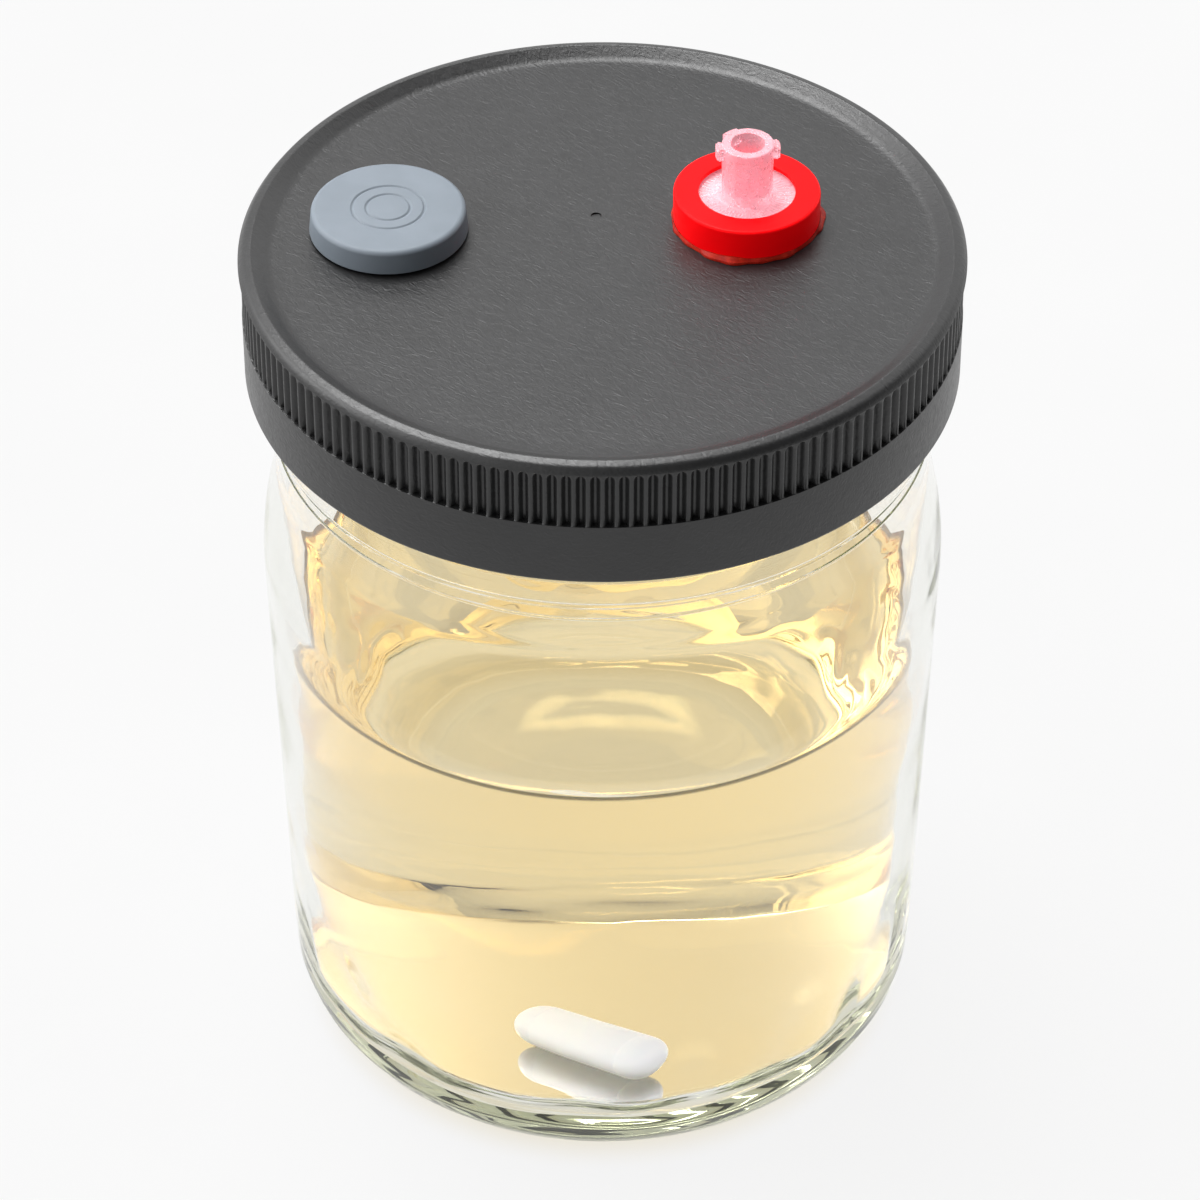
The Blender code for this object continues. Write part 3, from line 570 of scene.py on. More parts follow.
def inner_corners(inset, side):
    """Corners of the wetted wall and floor, from the meniscus down, moved in by an inset."""
    wall = GLASS_WALL + inset
    floor_height = FLOOR_THICKNESS + inset
    rim_height = floor_height + FLOOR_RIM_RISE
    return [
        (body_radius_at(CONTACT_Z) - wall, CONTACT_Z, 0, side),
        (body_radius_at(rim_height) - wall, rim_height, FLOOR_CORNER_ROUND, side),
        (FLOOR_EDGE_RADIUS, floor_height, FLOOR_EDGE_ROUND, side),
        (0, floor_height, 0, side),
    ]


def jar_corners():
    """The jar's outline: up the outside, over the lip and down to the floor, then the push-up below."""
    ring_outer = BODY_FOOT_RADIUS - HEEL_ROUND
    ring_inner = ring_outer - BEARING_RING_WIDTH
    return [
        (ring_inner, 0, 0, "foot"),
        (ring_outer, 0, 0, "foot"),
        (BODY_FOOT_RADIUS, 0, HEEL_ROUND, "outside"),
        (BODY_SHOULDER_RADIUS, SHOULDER_Z, SHOULDER_ROUND, "outside"),
        (NECK_RADIUS, NECK_Z, NECK_ROUND, "outside"),
        (NECK_RADIUS, NECK_RING_Z - NECK_RING_SIZE, 0, "outside"),
        (NECK_RADIUS + NECK_RING_SIZE, NECK_RING_Z, NECK_RING_SIZE, "outside"),
        (NECK_RADIUS, NECK_RING_Z + NECK_RING_SIZE, 0, "outside"),
        (NECK_RADIUS, SEAM_Z - SEAM_SIZE, 0, "outside"),
        (NECK_RADIUS + SEAM_SIZE, SEAM_Z, SEAM_SIZE / 2, "outside"),
        (NECK_RADIUS, SEAM_Z + SEAM_SIZE, 0, "outside"),
        (NECK_RADIUS, BEAD_LOW_Z - BEAD_ROOT_ROUND, BEAD_ROOT_ROUND, "outside"),
        (BEAD_RADIUS, BEAD_LOW_Z, BEAD_ROUND, "outside"),
        (BEAD_RADIUS, BEAD_TOP_Z, BEAD_ROUND, "outside"),
        (FINISH_RADIUS, BEAD_TOP_Z + BEAD_ROUND, BEAD_ROUND, "finish"),
        (FINISH_RADIUS, LIP_Z, LIP_ROUND, "finish"),
        (MOUTH_RADIUS, LIP_Z, LIP_ROUND, "mouth"),
        (NECK_RADIUS - GLASS_WALL, NECK_Z, NECK_ROUND, "inside"),
        (BODY_SHOULDER_RADIUS - GLASS_WALL, SHOULDER_Z, SHOULDER_ROUND, "inside"),
        *inner_corners(0, "wet"),
        (0, PUSH_UP_HEIGHT, 0, "base"),
        (ring_inner - PUSH_UP_SLOPE, PUSH_UP_HEIGHT, PUSH_UP_ROUND, "base"),
    ]


def jar_surface(radius, height, angle, side):
    """Thread on the finish and slight ripples on the inner wall, the floor's rim and the heel."""
    if side == "finish":
        start_deg = JAR_THREAD_TOP_DEG - JAR_THREAD_SWEEP_DEG
        rise = thread_rise(angle, height, start_deg, JAR_THREAD_SWEEP_DEG, JAR_THREAD_WIDTHS, 0)
        return radius + rise, height
    if side == "inside":
        return radius + wall_ripple(angle, height), height
    if side == "wet":
        return radius + wall_ripple(angle, height), height + bowl_ripple(angle, radius)
    if side == "outside":
        return radius + heel_ripple(angle, height), height
    return radius, height


def make_jar(glass):
    """The jar, with its thread."""
    mesh = turned_mesh(jar_corners(), JAR_SEGMENTS, jar_surface)
    add_piece("glass_body", mesh, glass, "jar", ["glass_jar"])


def broth_surface(radius, height, angle, side):
    """The broth's skin follows the ripples of the glass, less and less away from the wall."""
    wall_radius = body_radius_at(height) - GLASS_WALL
    share = min(1.0, radius / wall_radius) ** 12
    if side == "wet":
        return radius + wall_ripple(angle, height), height + bowl_ripple(angle, radius)
    return radius + wall_ripple(angle, height) * share, height


def meniscus_distance(rise):
    """How far from the wall a liquid's skin stands a rise above its level, by its capillary length."""
    share = rise / CAPILLARY_LENGTH
    most = MENISCUS_RISE / CAPILLARY_LENGTH
    angles = math.acosh(2 / share) - math.acosh(2 / most)
    return CAPILLARY_LENGTH * (angles + math.sqrt(4 - most * most) - math.sqrt(4 - share * share))


def make_broth(material):
    """The broth, with the curve that its surface takes up the glass."""
    edge_radius = body_radius_at(CONTACT_Z) - GLASS_WALL - FILM_GAP
    corners = [(0, FLAT_Z, 0, "top"), (edge_radius / 2, FLAT_Z, 0, "top")]
    for number in range(1, MENISCUS_POINTS + 1):
        rise = MENISCUS_RISE * (number / MENISCUS_POINTS) ** 2
        corners.append((edge_radius - meniscus_distance(rise), FLAT_Z + rise, 0, "top"))
    corners += inner_corners(FILM_GAP, "wet")
    mesh = turned_mesh(corners, JAR_SEGMENTS, broth_surface)
    add_piece("broth_fill", mesh, material, "jar", ["culture_broth"])


# The lid and its gasket


def lid_corners():
    """The lid's outline, from the lower edge of its skirt up, across the panel and back down inside."""
    ring_outer = MOUTH_RADIUS - GASKET_OVERREACH - CONTACT_GAP
    ring_inner = ring_outer - LOCATING_RING_WALL
    ring_low = PANEL_UNDER_Z - LOCATING_RING_HEIGHT
    arch_heights = [RIB_TOP_Z - RIB_ARCH * (1 - row / ARCH_ROWS) for row in range(ARCH_ROWS + 1)]
    return [
        (LID_BORE_RADIUS, LID_LOW_Z, LID_EDGE_ROUND, "bore"),
        (BAND_RADIUS, LID_LOW_Z, LID_EDGE_ROUND, "band"),
        (BAND_RADIUS, RIB_LOW_Z, 0, "ledge"),
        (RIB_CREST_RADIUS, RIB_LOW_Z + RIB_BOTTOM_STEP, 0, "grip"),
        *[(RIB_CREST_RADIUS, height, 0, "grip") for height in arch_heights],
        (ROLL_RADIUS, RIB_TOP_Z + ROLL_OVERHANG, 0, "roll"),
        (ROLL_RADIUS, CREST_Z - ROLL_SLOPE_HEIGHT, 0, "roll"),
        (ROLL_RADIUS - ROLL_TOP_INSET, CREST_Z - ROLL_TOP_DROP, ROLL_ROUND, "roll"),
        (ROLL_RADIUS - RIM_WIDTH, CREST_Z, CREST_ROUND, "rim"),
        (ROLL_RADIUS - PANEL_INSET, PANEL_TOP_Z, RIM_FOOT_ROUND, "panel"),
        (0, PANEL_TOP_Z, 0, "panel"),
        (0, PANEL_UNDER_Z, 0, "under"),
        (ring_inner, PANEL_UNDER_Z, 0, "under"),
        (ring_inner, ring_low, 0, "under"),
        (ring_outer, ring_low, 0, "under"),
        (ring_outer, PANEL_UNDER_Z, 0, "under"),
        (LID_BORE_RADIUS, PANEL_UNDER_Z, 0, "bore"),
    ]


def groove_depth(angle, height):
    """Depth of the grip at a point: flat-topped ribs with upright grooves between them, arched at the top."""
    across = (angle * RIB_COUNT / (2 * math.pi)) % 1.0
    from_groove = abs(across - 0.5)
    half_width = (1 - RIB_FLAT_SHARE) / 2
    floor_half = RIB_GROOVE_SHARE / 2
    into_arch = max(0.0, (height - (RIB_TOP_Z - RIB_ARCH)) / RIB_ARCH)
    narrowing = math.sqrt(max(0.0, 1 - into_arch * into_arch))
    if narrowing == 0 or from_groove >= half_width * narrowing:
        return 0.0
    side_share = min(1.0, (half_width * narrowing - from_groove) / (half_width - floor_half))
    rounded = (1 - math.cos(side_share * math.pi)) / 2
    return RIB_DEPTH * rounded * min(1.0, RIB_ARCH_DEPTH_SHARE + narrowing)


def lid_surface(radius, height, angle, side):
    """Ribs on the grip and the thread in the bore."""
    if side == "grip":
        return radius - groove_depth(angle, height), height
    if side == "bore":
        drop = (sum(JAR_THREAD_WIDTHS) + sum(LID_THREAD_WIDTHS)) / 4 + THREAD_FLANK_GAP
        rise_to_start = LID_LOW_Z + LID_THREAD_EDGE_RISE + drop - thread_height(JAR_THREAD_TOP_DEG)
        start_deg = JAR_THREAD_TOP_DEG + 360 * rise_to_start / THREAD_PITCH
        rise = thread_rise(angle, height, start_deg, LID_THREAD_SWEEP_DEG, LID_THREAD_WIDTHS, -drop)
        return radius - rise, height
    return radius, height


def hole_mesh(place, radius, low, high):
    """A round tool for a Boolean."""
    corners = [(0, low, 0), (radius, low, 0), (radius, high, 0), (0, high, 0)]
    mesh = turned_mesh(corners, FITTING_SEGMENTS)
    mesh.transform(Matrix.Translation((place[0], place[1], 0)))
    return mesh


def make_lid(material):
    """The screw lid with its ribs, thread, the two holes for its fittings and the gate mark in its middle."""
    mesh = turned_mesh(lid_corners(), LID_SEGMENTS, lid_surface, grip_segments=RIB_COUNT * RIB_COLUMNS)
    under = PANEL_UNDER_Z - PANEL_THICKNESS
    above = PANEL_TOP_Z + PANEL_THICKNESS
    port_hole = hole_mesh(middle_of("injection_port"), PORT_NECK_RADIUS + CONTACT_GAP, under, above)
    filter_hole = hole_mesh(middle_of("filter_ring"), NOZZLE_COLLAR_RADIUS + CONTACT_GAP, under, above)
    gate = hole_mesh(GATE_PLACE, GATE_RADIUS, PANEL_TOP_Z - GATE_DEPTH, above)
    cut = apply_boolean(mesh, [port_hole, filter_hole, gate], "DIFFERENCE")
    add_piece("screw_lid", cut, material, "lid", ["lid_cap"], sharp_deg=LID_SHARP_DEG)


def make_gasket(material):
    """The flat silicone ring on the glass lip."""
    low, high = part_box("lid_gasket")
    inner = MOUTH_RADIUS - GASKET_OVERREACH
    corners = [(inner, low.z), (high.x, low.z), (high.x, high.z), (inner, high.z)]
    mesh = turned_mesh([(*corner, GASKET_EDGE_ROUND) for corner in corners], JAR_SEGMENTS)
    add_piece("sealing_gasket", mesh, material, "seal", ["lid_gasket"])


# The injection port


def make_port(material):
    """The rubber plug with its two target grooves."""
    low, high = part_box("injection_port")
    flange_low = PANEL_TOP_Z + CONTACT_GAP
    barb_top = PANEL_UNDER_Z - CONTACT_GAP
    top_radius = PORT_FLANGE_RADIUS - PORT_FLANGE_DRAFT
    grooves = []
    for middle in reversed(PORT_GROOVE_RADII):
        for side, depth in ((1, 0), (0, PORT_GROOVE_DEPTH), (-1, 0)):
            radius = middle + side * PORT_GROOVE_WIDTH / 2
            grooves.append((radius, high.z - depth, PORT_GROOVE_WIDTH / 4))
    corners = [
        (0, low.z + PORT_WELL_DEPTH, 0),
        (PORT_WELL_RADIUS, low.z + PORT_WELL_DEPTH, 0),
        (PORT_WELL_RADIUS, low.z, 0),
        (PORT_BARB_RADIUS, low.z, PORT_EDGE_ROUND),
        (PORT_BARB_RADIUS, barb_top, 0),
        (PORT_NECK_RADIUS, barb_top, 0),
        (PORT_NECK_RADIUS, flange_low, 0),
        (PORT_FLANGE_RADIUS, flange_low, CONTACT_GAP / 2),
        (top_radius, high.z, PORT_EDGE_ROUND),
        *grooves,
        (0, high.z, 0),
    ]
    mesh = turned_mesh(corners, FITTING_SEGMENTS)
    place = ground_below("injection_port")
    add_piece("rubber_port", mesh, material, "lid", ["injection_port"], place)


# The syringe filter


def make_ring(material):
    """The red ring moulded round both halves of the filter."""
    low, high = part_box("filter_ring")
    channel_radius = RING_RADIUS - RING_WALL
    channel_low = low.z + RING_LIP_LOW
    channel_top = high.z - RING_LIP_TOP
    corners = [
        (RING_OPENING_RADIUS, low.z, 0),
        (RING_RADIUS, low.z, RING_EDGE_ROUND),
        (RING_RADIUS, high.z, RING_EDGE_ROUND),
        (RING_OPENING_RADIUS, high.z, RING_EDGE_ROUND / 3),
        (RING_OPENING_RADIUS, channel_top, 0),
        (channel_radius, channel_top, 0),
        (channel_radius, channel_low, 0),
        (RING_OPENING_RADIUS, channel_low, 0),
    ]
    mesh = turned_mesh(corners, FITTING_SEGMENTS)
    place = ground_below("filter_ring")
    add_piece("ring_moulding", mesh, material, "lid", ["filter_ring"], place)


def inlet_surface(radius, height, angle, side):
    """Fine radial ridges on the disc and soft upright facets on the luer tube."""
    if side == "disc":
        wave = math.cos(DISC_RIDGES * angle + sway(DISC_RIDGE_SWAYS, angle))
        return radius, height + DISC_RIDGE_HEIGHT * wave
    if side == "tube":
        facet = 2 * math.pi / LUER_FACETS
        off_middle = (angle % facet) - facet / 2
        flat_radius = radius * math.cos(facet / 2) / math.cos(off_middle)
        return radius + (flat_radius - radius) * LUER_FACET_SHARE, height
    return radius, height


def lug_mesh(bearing_deg, top):
    """One lug of the luer lock, a short block with a round outer side and softened edges."""
    half_angle = LUG_WIDTH / (2 * LUG_SPAN_RADIUS)
    corners = [(LUG_SPAN_RADIUS, half_angle * (2 * step / LUG_STEPS - 1)) for step in range(LUG_STEPS + 1)]
    corners += [(LUER_RADIUS - LUG_ROOT_SINK, half_angle), (LUER_RADIUS - LUG_ROOT_SINK, -half_angle)]
    bm = bmesh.new()
    loops = []
    for height in (top - LUG_HEIGHT, top):
        loop = []
        for radius, off_middle in corners:
            angle = math.radians(bearing_deg) + off_middle
            loop.append(bm.verts.new((radius * math.cos(angle), radius * math.sin(angle), height)))
        bm.faces.new(loop)
        loops.append(loop)
    low_loop, high_loop = loops
    for index in range(len(corners)):
        following = (index + 1) % len(corners)
        bm.faces.new((low_loop[index], low_loop[following], high_loop[following], high_loop[index]))
    bmesh.ops.recalc_face_normals(bm, faces=bm.faces)
    sharp = [edge for edge in bm.edges if edge.calc_face_angle() > math.radians(LUG_SHARP_DEG)]
    bmesh.ops.bevel(bm, geom=sharp, offset=LUG_EDGE_ROUND, segments=3, affect="EDGES", clamp_overlap=True)
    mesh = bpy.data.meshes.new("luer_lug")
    bm.to_mesh(mesh)
    bm.free()
    return mesh


def make_inlet(material):
    """The filter's upper half: a ridged disc inside the ring and a female luer tube with three lugs."""
    low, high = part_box("filter_inlet")
    flange_top = high.z - LUER_HEIGHT
    flange_radius = RING_RADIUS - RING_WALL - CONTACT_GAP
    cone_low = high.z - LUER_CONE_DEPTH
    cone_low_radius = LUER_MOUTH_RADIUS - LUER_TAPER * LUER_CONE_DEPTH
    corners = [
        (LUER_DRILLING_RADIUS, low.z, 0),
        (flange_radius, low.z, 0),
        (flange_radius, flange_top, 0),
        (RING_OPENING_RADIUS, flange_top, 0, "disc"),
        (LUER_RADIUS + 2 * LUER_ROOT_ROUND, flange_top, 0, "disc"),
        (LUER_RADIUS, flange_top, LUER_ROOT_ROUND, "root"),
        (LUER_RADIUS, flange_top + 2 * LUER_ROOT_ROUND, 0, "tube"),
        (LUER_RADIUS + LUER_FLARE, high.z - 2 * LUER_ROOT_ROUND, 0, "tube"),
        (LUER_RADIUS + LUER_FLARE, high.z, LUER_ROOT_ROUND / 2, "rim"),
        (LUER_MOUTH_RADIUS, high.z, LUER_ROOT_ROUND / 4, "rim"),
        (cone_low_radius, cone_low, 0),
        (LUER_DRILLING_RADIUS, cone_low, 0),
    ]
    mesh = turned_mesh(corners, 2 * FITTING_SEGMENTS, inlet_surface)
    lugs = [lug_mesh(bearing_deg, high.z - LUG_DROP) for bearing_deg in LUG_BEARINGS_DEG]
    joined = apply_boolean(mesh, lugs, "UNION")
    place = ground_below("filter_ring")
    add_piece("luer_inlet", joined, material, "lid", ["filter_inlet"], place)


def make_outlet(material):
    """The filter's lower half, whose nozzle goes through the lid."""
    low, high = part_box("filter_outlet")
    flange_radius = RING_RADIUS - RING_WALL - CONTACT_GAP
    flange_low = high.z - HALF_FLANGE_THICKNESS
    reach = PANEL_UNDER_Z - low.z
    shoulder = PANEL_UNDER_Z - NOZZLE_COLLAR_REACH
    corners = [
        (NOZZLE_BORE_RADIUS, low.z, 0),
        (NOZZLE_TIP_RADIUS, low.z, CONTACT_GAP),
        (NOZZLE_TIP_RADIUS + LUER_TAPER * reach, shoulder, 0),
        (NOZZLE_COLLAR_RADIUS, shoulder, CONTACT_GAP),
        (NOZZLE_COLLAR_RADIUS, flange_low, 0),
        (flange_radius, flange_low, 0),
        (flange_radius, high.z, 0),
        (NOZZLE_BORE_RADIUS, high.z, 0),
    ]
    mesh = turned_mesh(corners, FITTING_SEGMENTS)
    place = ground_below("filter_ring")
    add_piece("nozzle_outlet", mesh, material, "lid", ["filter_outlet"], place)


def sealant_surface(radius, height, angle, side):
    """The bead swells and thins round the filter, as it was squeezed out by hand."""
    if side != "bead":
        return radius, height
    swell = max(SEALANT_THINNEST, min(1.0, SEALANT_SWELL + sway(SEALANT_SWAYS, angle)))
    inner = RING_RADIUS + SEALANT_GAP
    share = SEALANT_LOWEST + (1 - SEALANT_LOWEST) * swell
    return inner + (radius - inner) * swell, PANEL_TOP_Z + (height - PANEL_TOP_Z) * share


def make_sealant(material):
    """The bead of silicone round the filter's foot."""
    low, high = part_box("filter_sealant")
    outer = (high.x - low.x) / 2
    inner = RING_RADIUS + SEALANT_GAP
    foot = PANEL_TOP_Z + SEALANT_GAP
    corners = [
        (inner, foot, 0, "root"),
        (outer, foot, 0, "bead"),
        (outer, foot + SEALANT_EDGE_HEIGHT, SEALANT_WIDTH / 3, "bead"),
        (inner + SEALANT_WIDTH / 3, high.z, SEALANT_WIDTH / 4, "bead"),
        (inner, high.z, 0, "bead"),
    ]
    mesh = turned_mesh(corners, 2 * FITTING_SEGMENTS, sealant_surface)
    place = ground_below("filter_ring")
    add_piece("sealant_bead", mesh, material, "lid", ["filter_sealant"], place)


# The stir bar


def make_stir_bar(material):
    """The white capsule, with a faint seam near each domed end."""
    half = STIR_BAR_LENGTH / 2
    seam = half - STIR_BAR_DOME_LENGTH
    seam_half = STIR_BAR_SEAM_WIDTH / 2
    root = STIR_BAR_RADIUS - STIR_BAR_SEAM_DEPTH
    corners = [(0, -half, 0), (STIR_BAR_RADIUS, -half, STIR_BAR_END_ROUND)]
    for middle in (-seam + seam_half, seam - seam_half):
        corners.append((STIR_BAR_RADIUS, middle - seam_half, 0))
        corners.append((root, middle, 0))
        corners.append((STIR_BAR_RADIUS, middle + seam_half, 0))
    corners += [(STIR_BAR_RADIUS, half, STIR_BAR_END_ROUND), (0, half, 0)]
    mesh = turned_mesh(corners, STIR_BAR_SEGMENTS, axis="X")
    nodes = ["stir_bar_sleeve", "stir_bar_right_cap", "stir_bar_left_cap"]
    place = middle_of("stir_bar_magnet")
    turn = math.radians(STIR_BAR_YAW_DEG)
    add_piece("stir_capsule", mesh, material, "stir_bar", nodes, place, turn)


# Materials


def new_material(name, base, roughness, sockets=None, specular=0.5):
    """A Principled material, with its node tree and shader, and its other sockets set to their values."""
    material = bpy.data.materials.new(name)
    material.use_nodes = True
    tree = material.node_tree
    shader = tree.nodes["Principled BSDF"]
    shader.inputs["Base Color"].default_value = base
    shader.inputs["Roughness"].default_value = roughness
    shader.inputs["Specular IOR Level"].default_value = specular
    for socket, value in (sockets or {}).items():
        shader.inputs[socket].default_value = value
    return material, tree, shader


def piece_place(tree):
    """Where a point lies, in the piece's own metres."""
    return tree.nodes.new("ShaderNodeTexCoord").outputs["Object"]


def one_axis(tree, vector, axis):
    """One number of a vector."""
    split = tree.nodes.new("ShaderNodeSeparateXYZ")
    tree.links.new(vector, split.inputs["Vector"])
    return split.outputs[axis]


def upwardness(tree):
    """How far a surface faces up, from -1 for an underside to 1 for a level top."""
    return one_axis(tree, tree.nodes.new("ShaderNodeNewGeometry").outputs["Normal"], "Z")


def noise(tree, size, detail=2.0, distortion=0.0, place=None):
    """A noise texture over a place, or the piece's own metres, with features of about the given size."""
    texture = tree.nodes.new("ShaderNodeTexNoise")
    texture.inputs["Scale"].default_value = 1 / size
    texture.inputs["Detail"].default_value = detail
    texture.inputs["Distortion"].default_value = distortion
    tree.links.new(place or piece_place(tree), texture.inputs["Vector"])
    return texture.outputs["Fac"]


def wrinkles(tree):
    """Fine wrinkles that flow in one main direction, like the grain of a leather-like moulding."""
    stretch = tree.nodes.new("ShaderNodeMapping")
    stretch.vector_type = "TEXTURE"
    stretch.inputs["Rotation"].default_value = (0, 0, math.radians(WRINKLE_TURN_DEG))
    stretch.inputs["Scale"].default_value = WRINKLE_STRETCH
    tree.links.new(piece_place(tree), stretch.inputs["Vector"])
    return noise(tree, WRINKLE_SIZE, detail=2.5, distortion=1.2, place=stretch.outputs["Vector"])


def map_range(tree, value, edges, results, interpolation="LINEAR"):
    """A change from one number to another between two edges of a value."""
    node = tree.nodes.new("ShaderNodeMapRange")
    node.interpolation_type = interpolation
    node.inputs["From Min"].default_value = edges[0]
    node.inputs["From Max"].default_value = edges[1]
    node.inputs["To Min"].default_value = results[0]
    node.inputs["To Max"].default_value = results[1]
    tree.links.new(value, node.inputs["Value"])
    return node.outputs["Result"]


def smooth_step(tree, value, edges, results):
    """A smooth change from one number to another between two edges of a value."""
    return map_range(tree, value, edges, results, "SMOOTHSTEP")


def calculate(tree, operation, first, second):
    """The result of an operation on two sockets or numbers."""
    node = tree.nodes.new("ShaderNodeMath")
    node.operation = operation
    for socket, value in zip(node.inputs, (first, second)):
        if isinstance(value, (int, float)):
            socket.default_value = value
        else:
            tree.links.new(value, socket)
    return node.outputs[0]


def mix_colours(tree, value, shades, edges=(0.0, 1.0)):
    """A colour between two, by a value between two edges."""
    node = tree.nodes.new("ShaderNodeValToRGB")
    for element, position, shade in zip(node.color_ramp.elements, edges, shades):
        element.position = position
        element.color = shade
    tree.links.new(value, node.inputs["Fac"])
    return node.outputs["Color"]


def vary_colour(tree, shader, value, shades):
    """A base colour that a noise value changes between two shades."""
    tree.links.new(mix_colours(tree, value, shades, NOISE_COLOUR_EDGES), shader.inputs["Base Color"])


def vary_roughness(tree, shader, value, results):
    """A roughness that a noise value changes between two numbers."""
    tree.links.new(map_range(tree, value, NOISE_EDGES, results), shader.inputs["Roughness"])


def add_bump(tree, shader, value, depth, strength=1.0):
    """Relief from a noise value, of a depth in metres, on top of any relief the shader has already."""
    node = tree.nodes.new("ShaderNodeBump")
    node.inputs["Distance"].default_value = depth
    node.inputs["Strength"].default_value = strength
    tree.links.new(value, node.inputs["Height"])
    normal = shader.inputs["Normal"]
    if normal.links:
        tree.links.new(normal.links[0].from_socket, node.inputs["Normal"])
    tree.links.new(node.outputs["Normal"], normal)


def add_absorption(tree, tint, density):
    """Let light fade inside the piece, towards a tint."""
    node = tree.nodes.new("ShaderNodeVolumeAbsorption")
    node.inputs["Color"].default_value = tint
    node.inputs["Density"].default_value = density
    tree.links.new(node.outputs["Volume"], tree.nodes["Material Output"].inputs["Volume"])


def make_clear_material(name, ior, tint, density, relief):
    """A smooth clear material that bends and tints light, with a slow unevenness."""
    sockets = {"Transmission Weight": 1.0, "IOR": ior}
    material, tree, shader = new_material(name, (1, 1, 1, 1), 0.0, sockets)
    add_bump(tree, shader, noise(tree, size=0.020), relief, strength=0.25)
    add_absorption(tree, tint, density)
    return material


def make_broth_material():
    """Clear broth, with a painted shade: a fine dark golden line in its colour just below where it meets the
    glass, standing in for the darkening of its edge, which there is seen on edge.
    """
    material = make_clear_material("clear_broth_look", BROTH_IOR, BROTH_TINT, BROTH_DENSITY, BROTH_RELIEF)
    tree = material.node_tree
    # Painted shade: a dark golden band of colour just below the contact line
    line_edges = (CONTACT_Z - 2 * PAINTED_SHADE_HEIGHT, CONTACT_Z - PAINTED_SHADE_HEIGHT)
    line = smooth_step(tree, one_axis(tree, piece_place(tree), "Z"), line_edges, (0.0, 1.0))
    tint = mix_colours(tree, line, (BROTH_FILM, BROTH_PAINTED_SHADE))
    tree.links.new(tint, tree.nodes["Principled BSDF"].inputs["Base Color"])
    return material


def make_lid_material():
    """Charcoal polypropylene with a soft sheen and fine flowing wrinkles. Under its panel it is painted
    lighter: painted light on the faces that look down, not the plastic's own colour.
    """
    material, tree, shader = new_material("charcoal_plastic_look", (0.012, 0.012, 0.0125, 1), 0.4)
    # Painted light: faces that look down, high under the panel, take the lighter underside colour
    panel_edges = (PANEL_UNDER_Z - 0.003, PANEL_UNDER_Z - 0.002)
    high_up = smooth_step(tree, one_axis(tree, piece_place(tree), "Z"), panel_edges, (0.0, 1.0))
    downward = smooth_step(tree, upwardness(tree), (-0.8, -0.4), (1.0, 0.0))
    painted_light_underside = tree.nodes.new("ShaderNodeMix")
    painted_light_underside.data_type = "RGBA"
    tree.links.new(calculate(tree, "MULTIPLY", downward, high_up), painted_light_underside.inputs[0])
    shade = mix_colours(tree, noise(tree, size=0.006, detail=3), LID_SHADES, NOISE_COLOUR_EDGES)
    tree.links.new(shade, painted_light_underside.inputs[6])
    painted_light_underside.inputs[7].default_value = UNDERSIDE_PAINTED_LIGHT
    tree.links.new(painted_light_underside.outputs[2], shader.inputs["Base Color"])
    vary_roughness(tree, shader, noise(tree, size=0.0009, detail=3, distortion=1.0), LID_ROUGHNESS)
    add_bump(tree, shader, wrinkles(tree), depth=0.00008, strength=0.7)
    return material


def make_port_material():
    """Matt grey-blue rubber, faintly speckled."""
    material, tree, shader = new_material("grey_blue_rubber_look", colour(140, 150, 166), 0.55, specular=0.35)
    vary_colour(tree, shader, noise(tree, size=0.004, detail=3), PORT_SHADES)
    vary_roughness(tree, shader, noise(tree, size=0.001, detail=2), PORT_ROUGHNESS)
    add_bump(tree, shader, noise(tree, size=0.0005, detail=3), depth=0.00002, strength=0.4)
    return material


def make_ring_material():
    """Satin red plastic, with a painted glow: a little red emission that makes it look lit from inside."""
    # Painted light: the red emission makes the ring look lit from inside
    glow = {"Emission Color": RING_PAINTED_GLOW_TINT, "Emission Strength": RING_PAINTED_GLOW}
    material, tree, shader = new_material("red_plastic_look", colour(230, 20, 20), 0.35, glow, specular=0.07)
    vary_colour(tree, shader, noise(tree, size=0.005, detail=2), RING_SHADES)
    vary_roughness(tree, shader, noise(tree, size=0.0008, detail=3), RING_ROUGHNESS)
    add_bump(tree, shader, noise(tree, size=0.0006, detail=2), depth=0.00001, strength=0.4)
    return material


def make_sealant_material():
    """Orange-red silicone, uneven and slightly glossy."""
    material, tree, shader = new_material("red_sealant_look", colour(214, 52, 30), 0.4, specular=0.15)
    vary_colour(tree, shader, noise(tree, size=0.0012, detail=3), SEALANT_SHADES)
    add_bump(tree, shader, noise(tree, size=0.0006, detail=3), depth=0.0001, strength=0.6)
    return material


def make_filter_plastic(name):
    """Frosty translucent plastic, with the faint flow marks of moulding and a painted pink glow: a little
    emission that makes it look lit from inside.
    """
    sockets = {"Transmission Weight": 0.72, "IOR": 1.45}
    # Painted light: a pink emission that makes the plastic look lit from inside
    sockets |= {"Emission Color": FILTER_PAINTED_GLOW_TINT, "Emission Strength": FILTER_PAINTED_GLOW}
    material, tree, shader = new_material(name, (0.80, 0.50, 0.54, 1), 0.3, sockets)
    vary_colour(tree, shader, noise(tree, size=0.002, detail=3), FILTER_SHADES)
    vary_roughness(tree, shader, noise(tree, size=0.0008, detail=3), FILTER_ROUGHNESS)
    add_bump(tree, shader, noise(tree, size=0.0005, detail=2), depth=0.00003, strength=0.5)
    return material


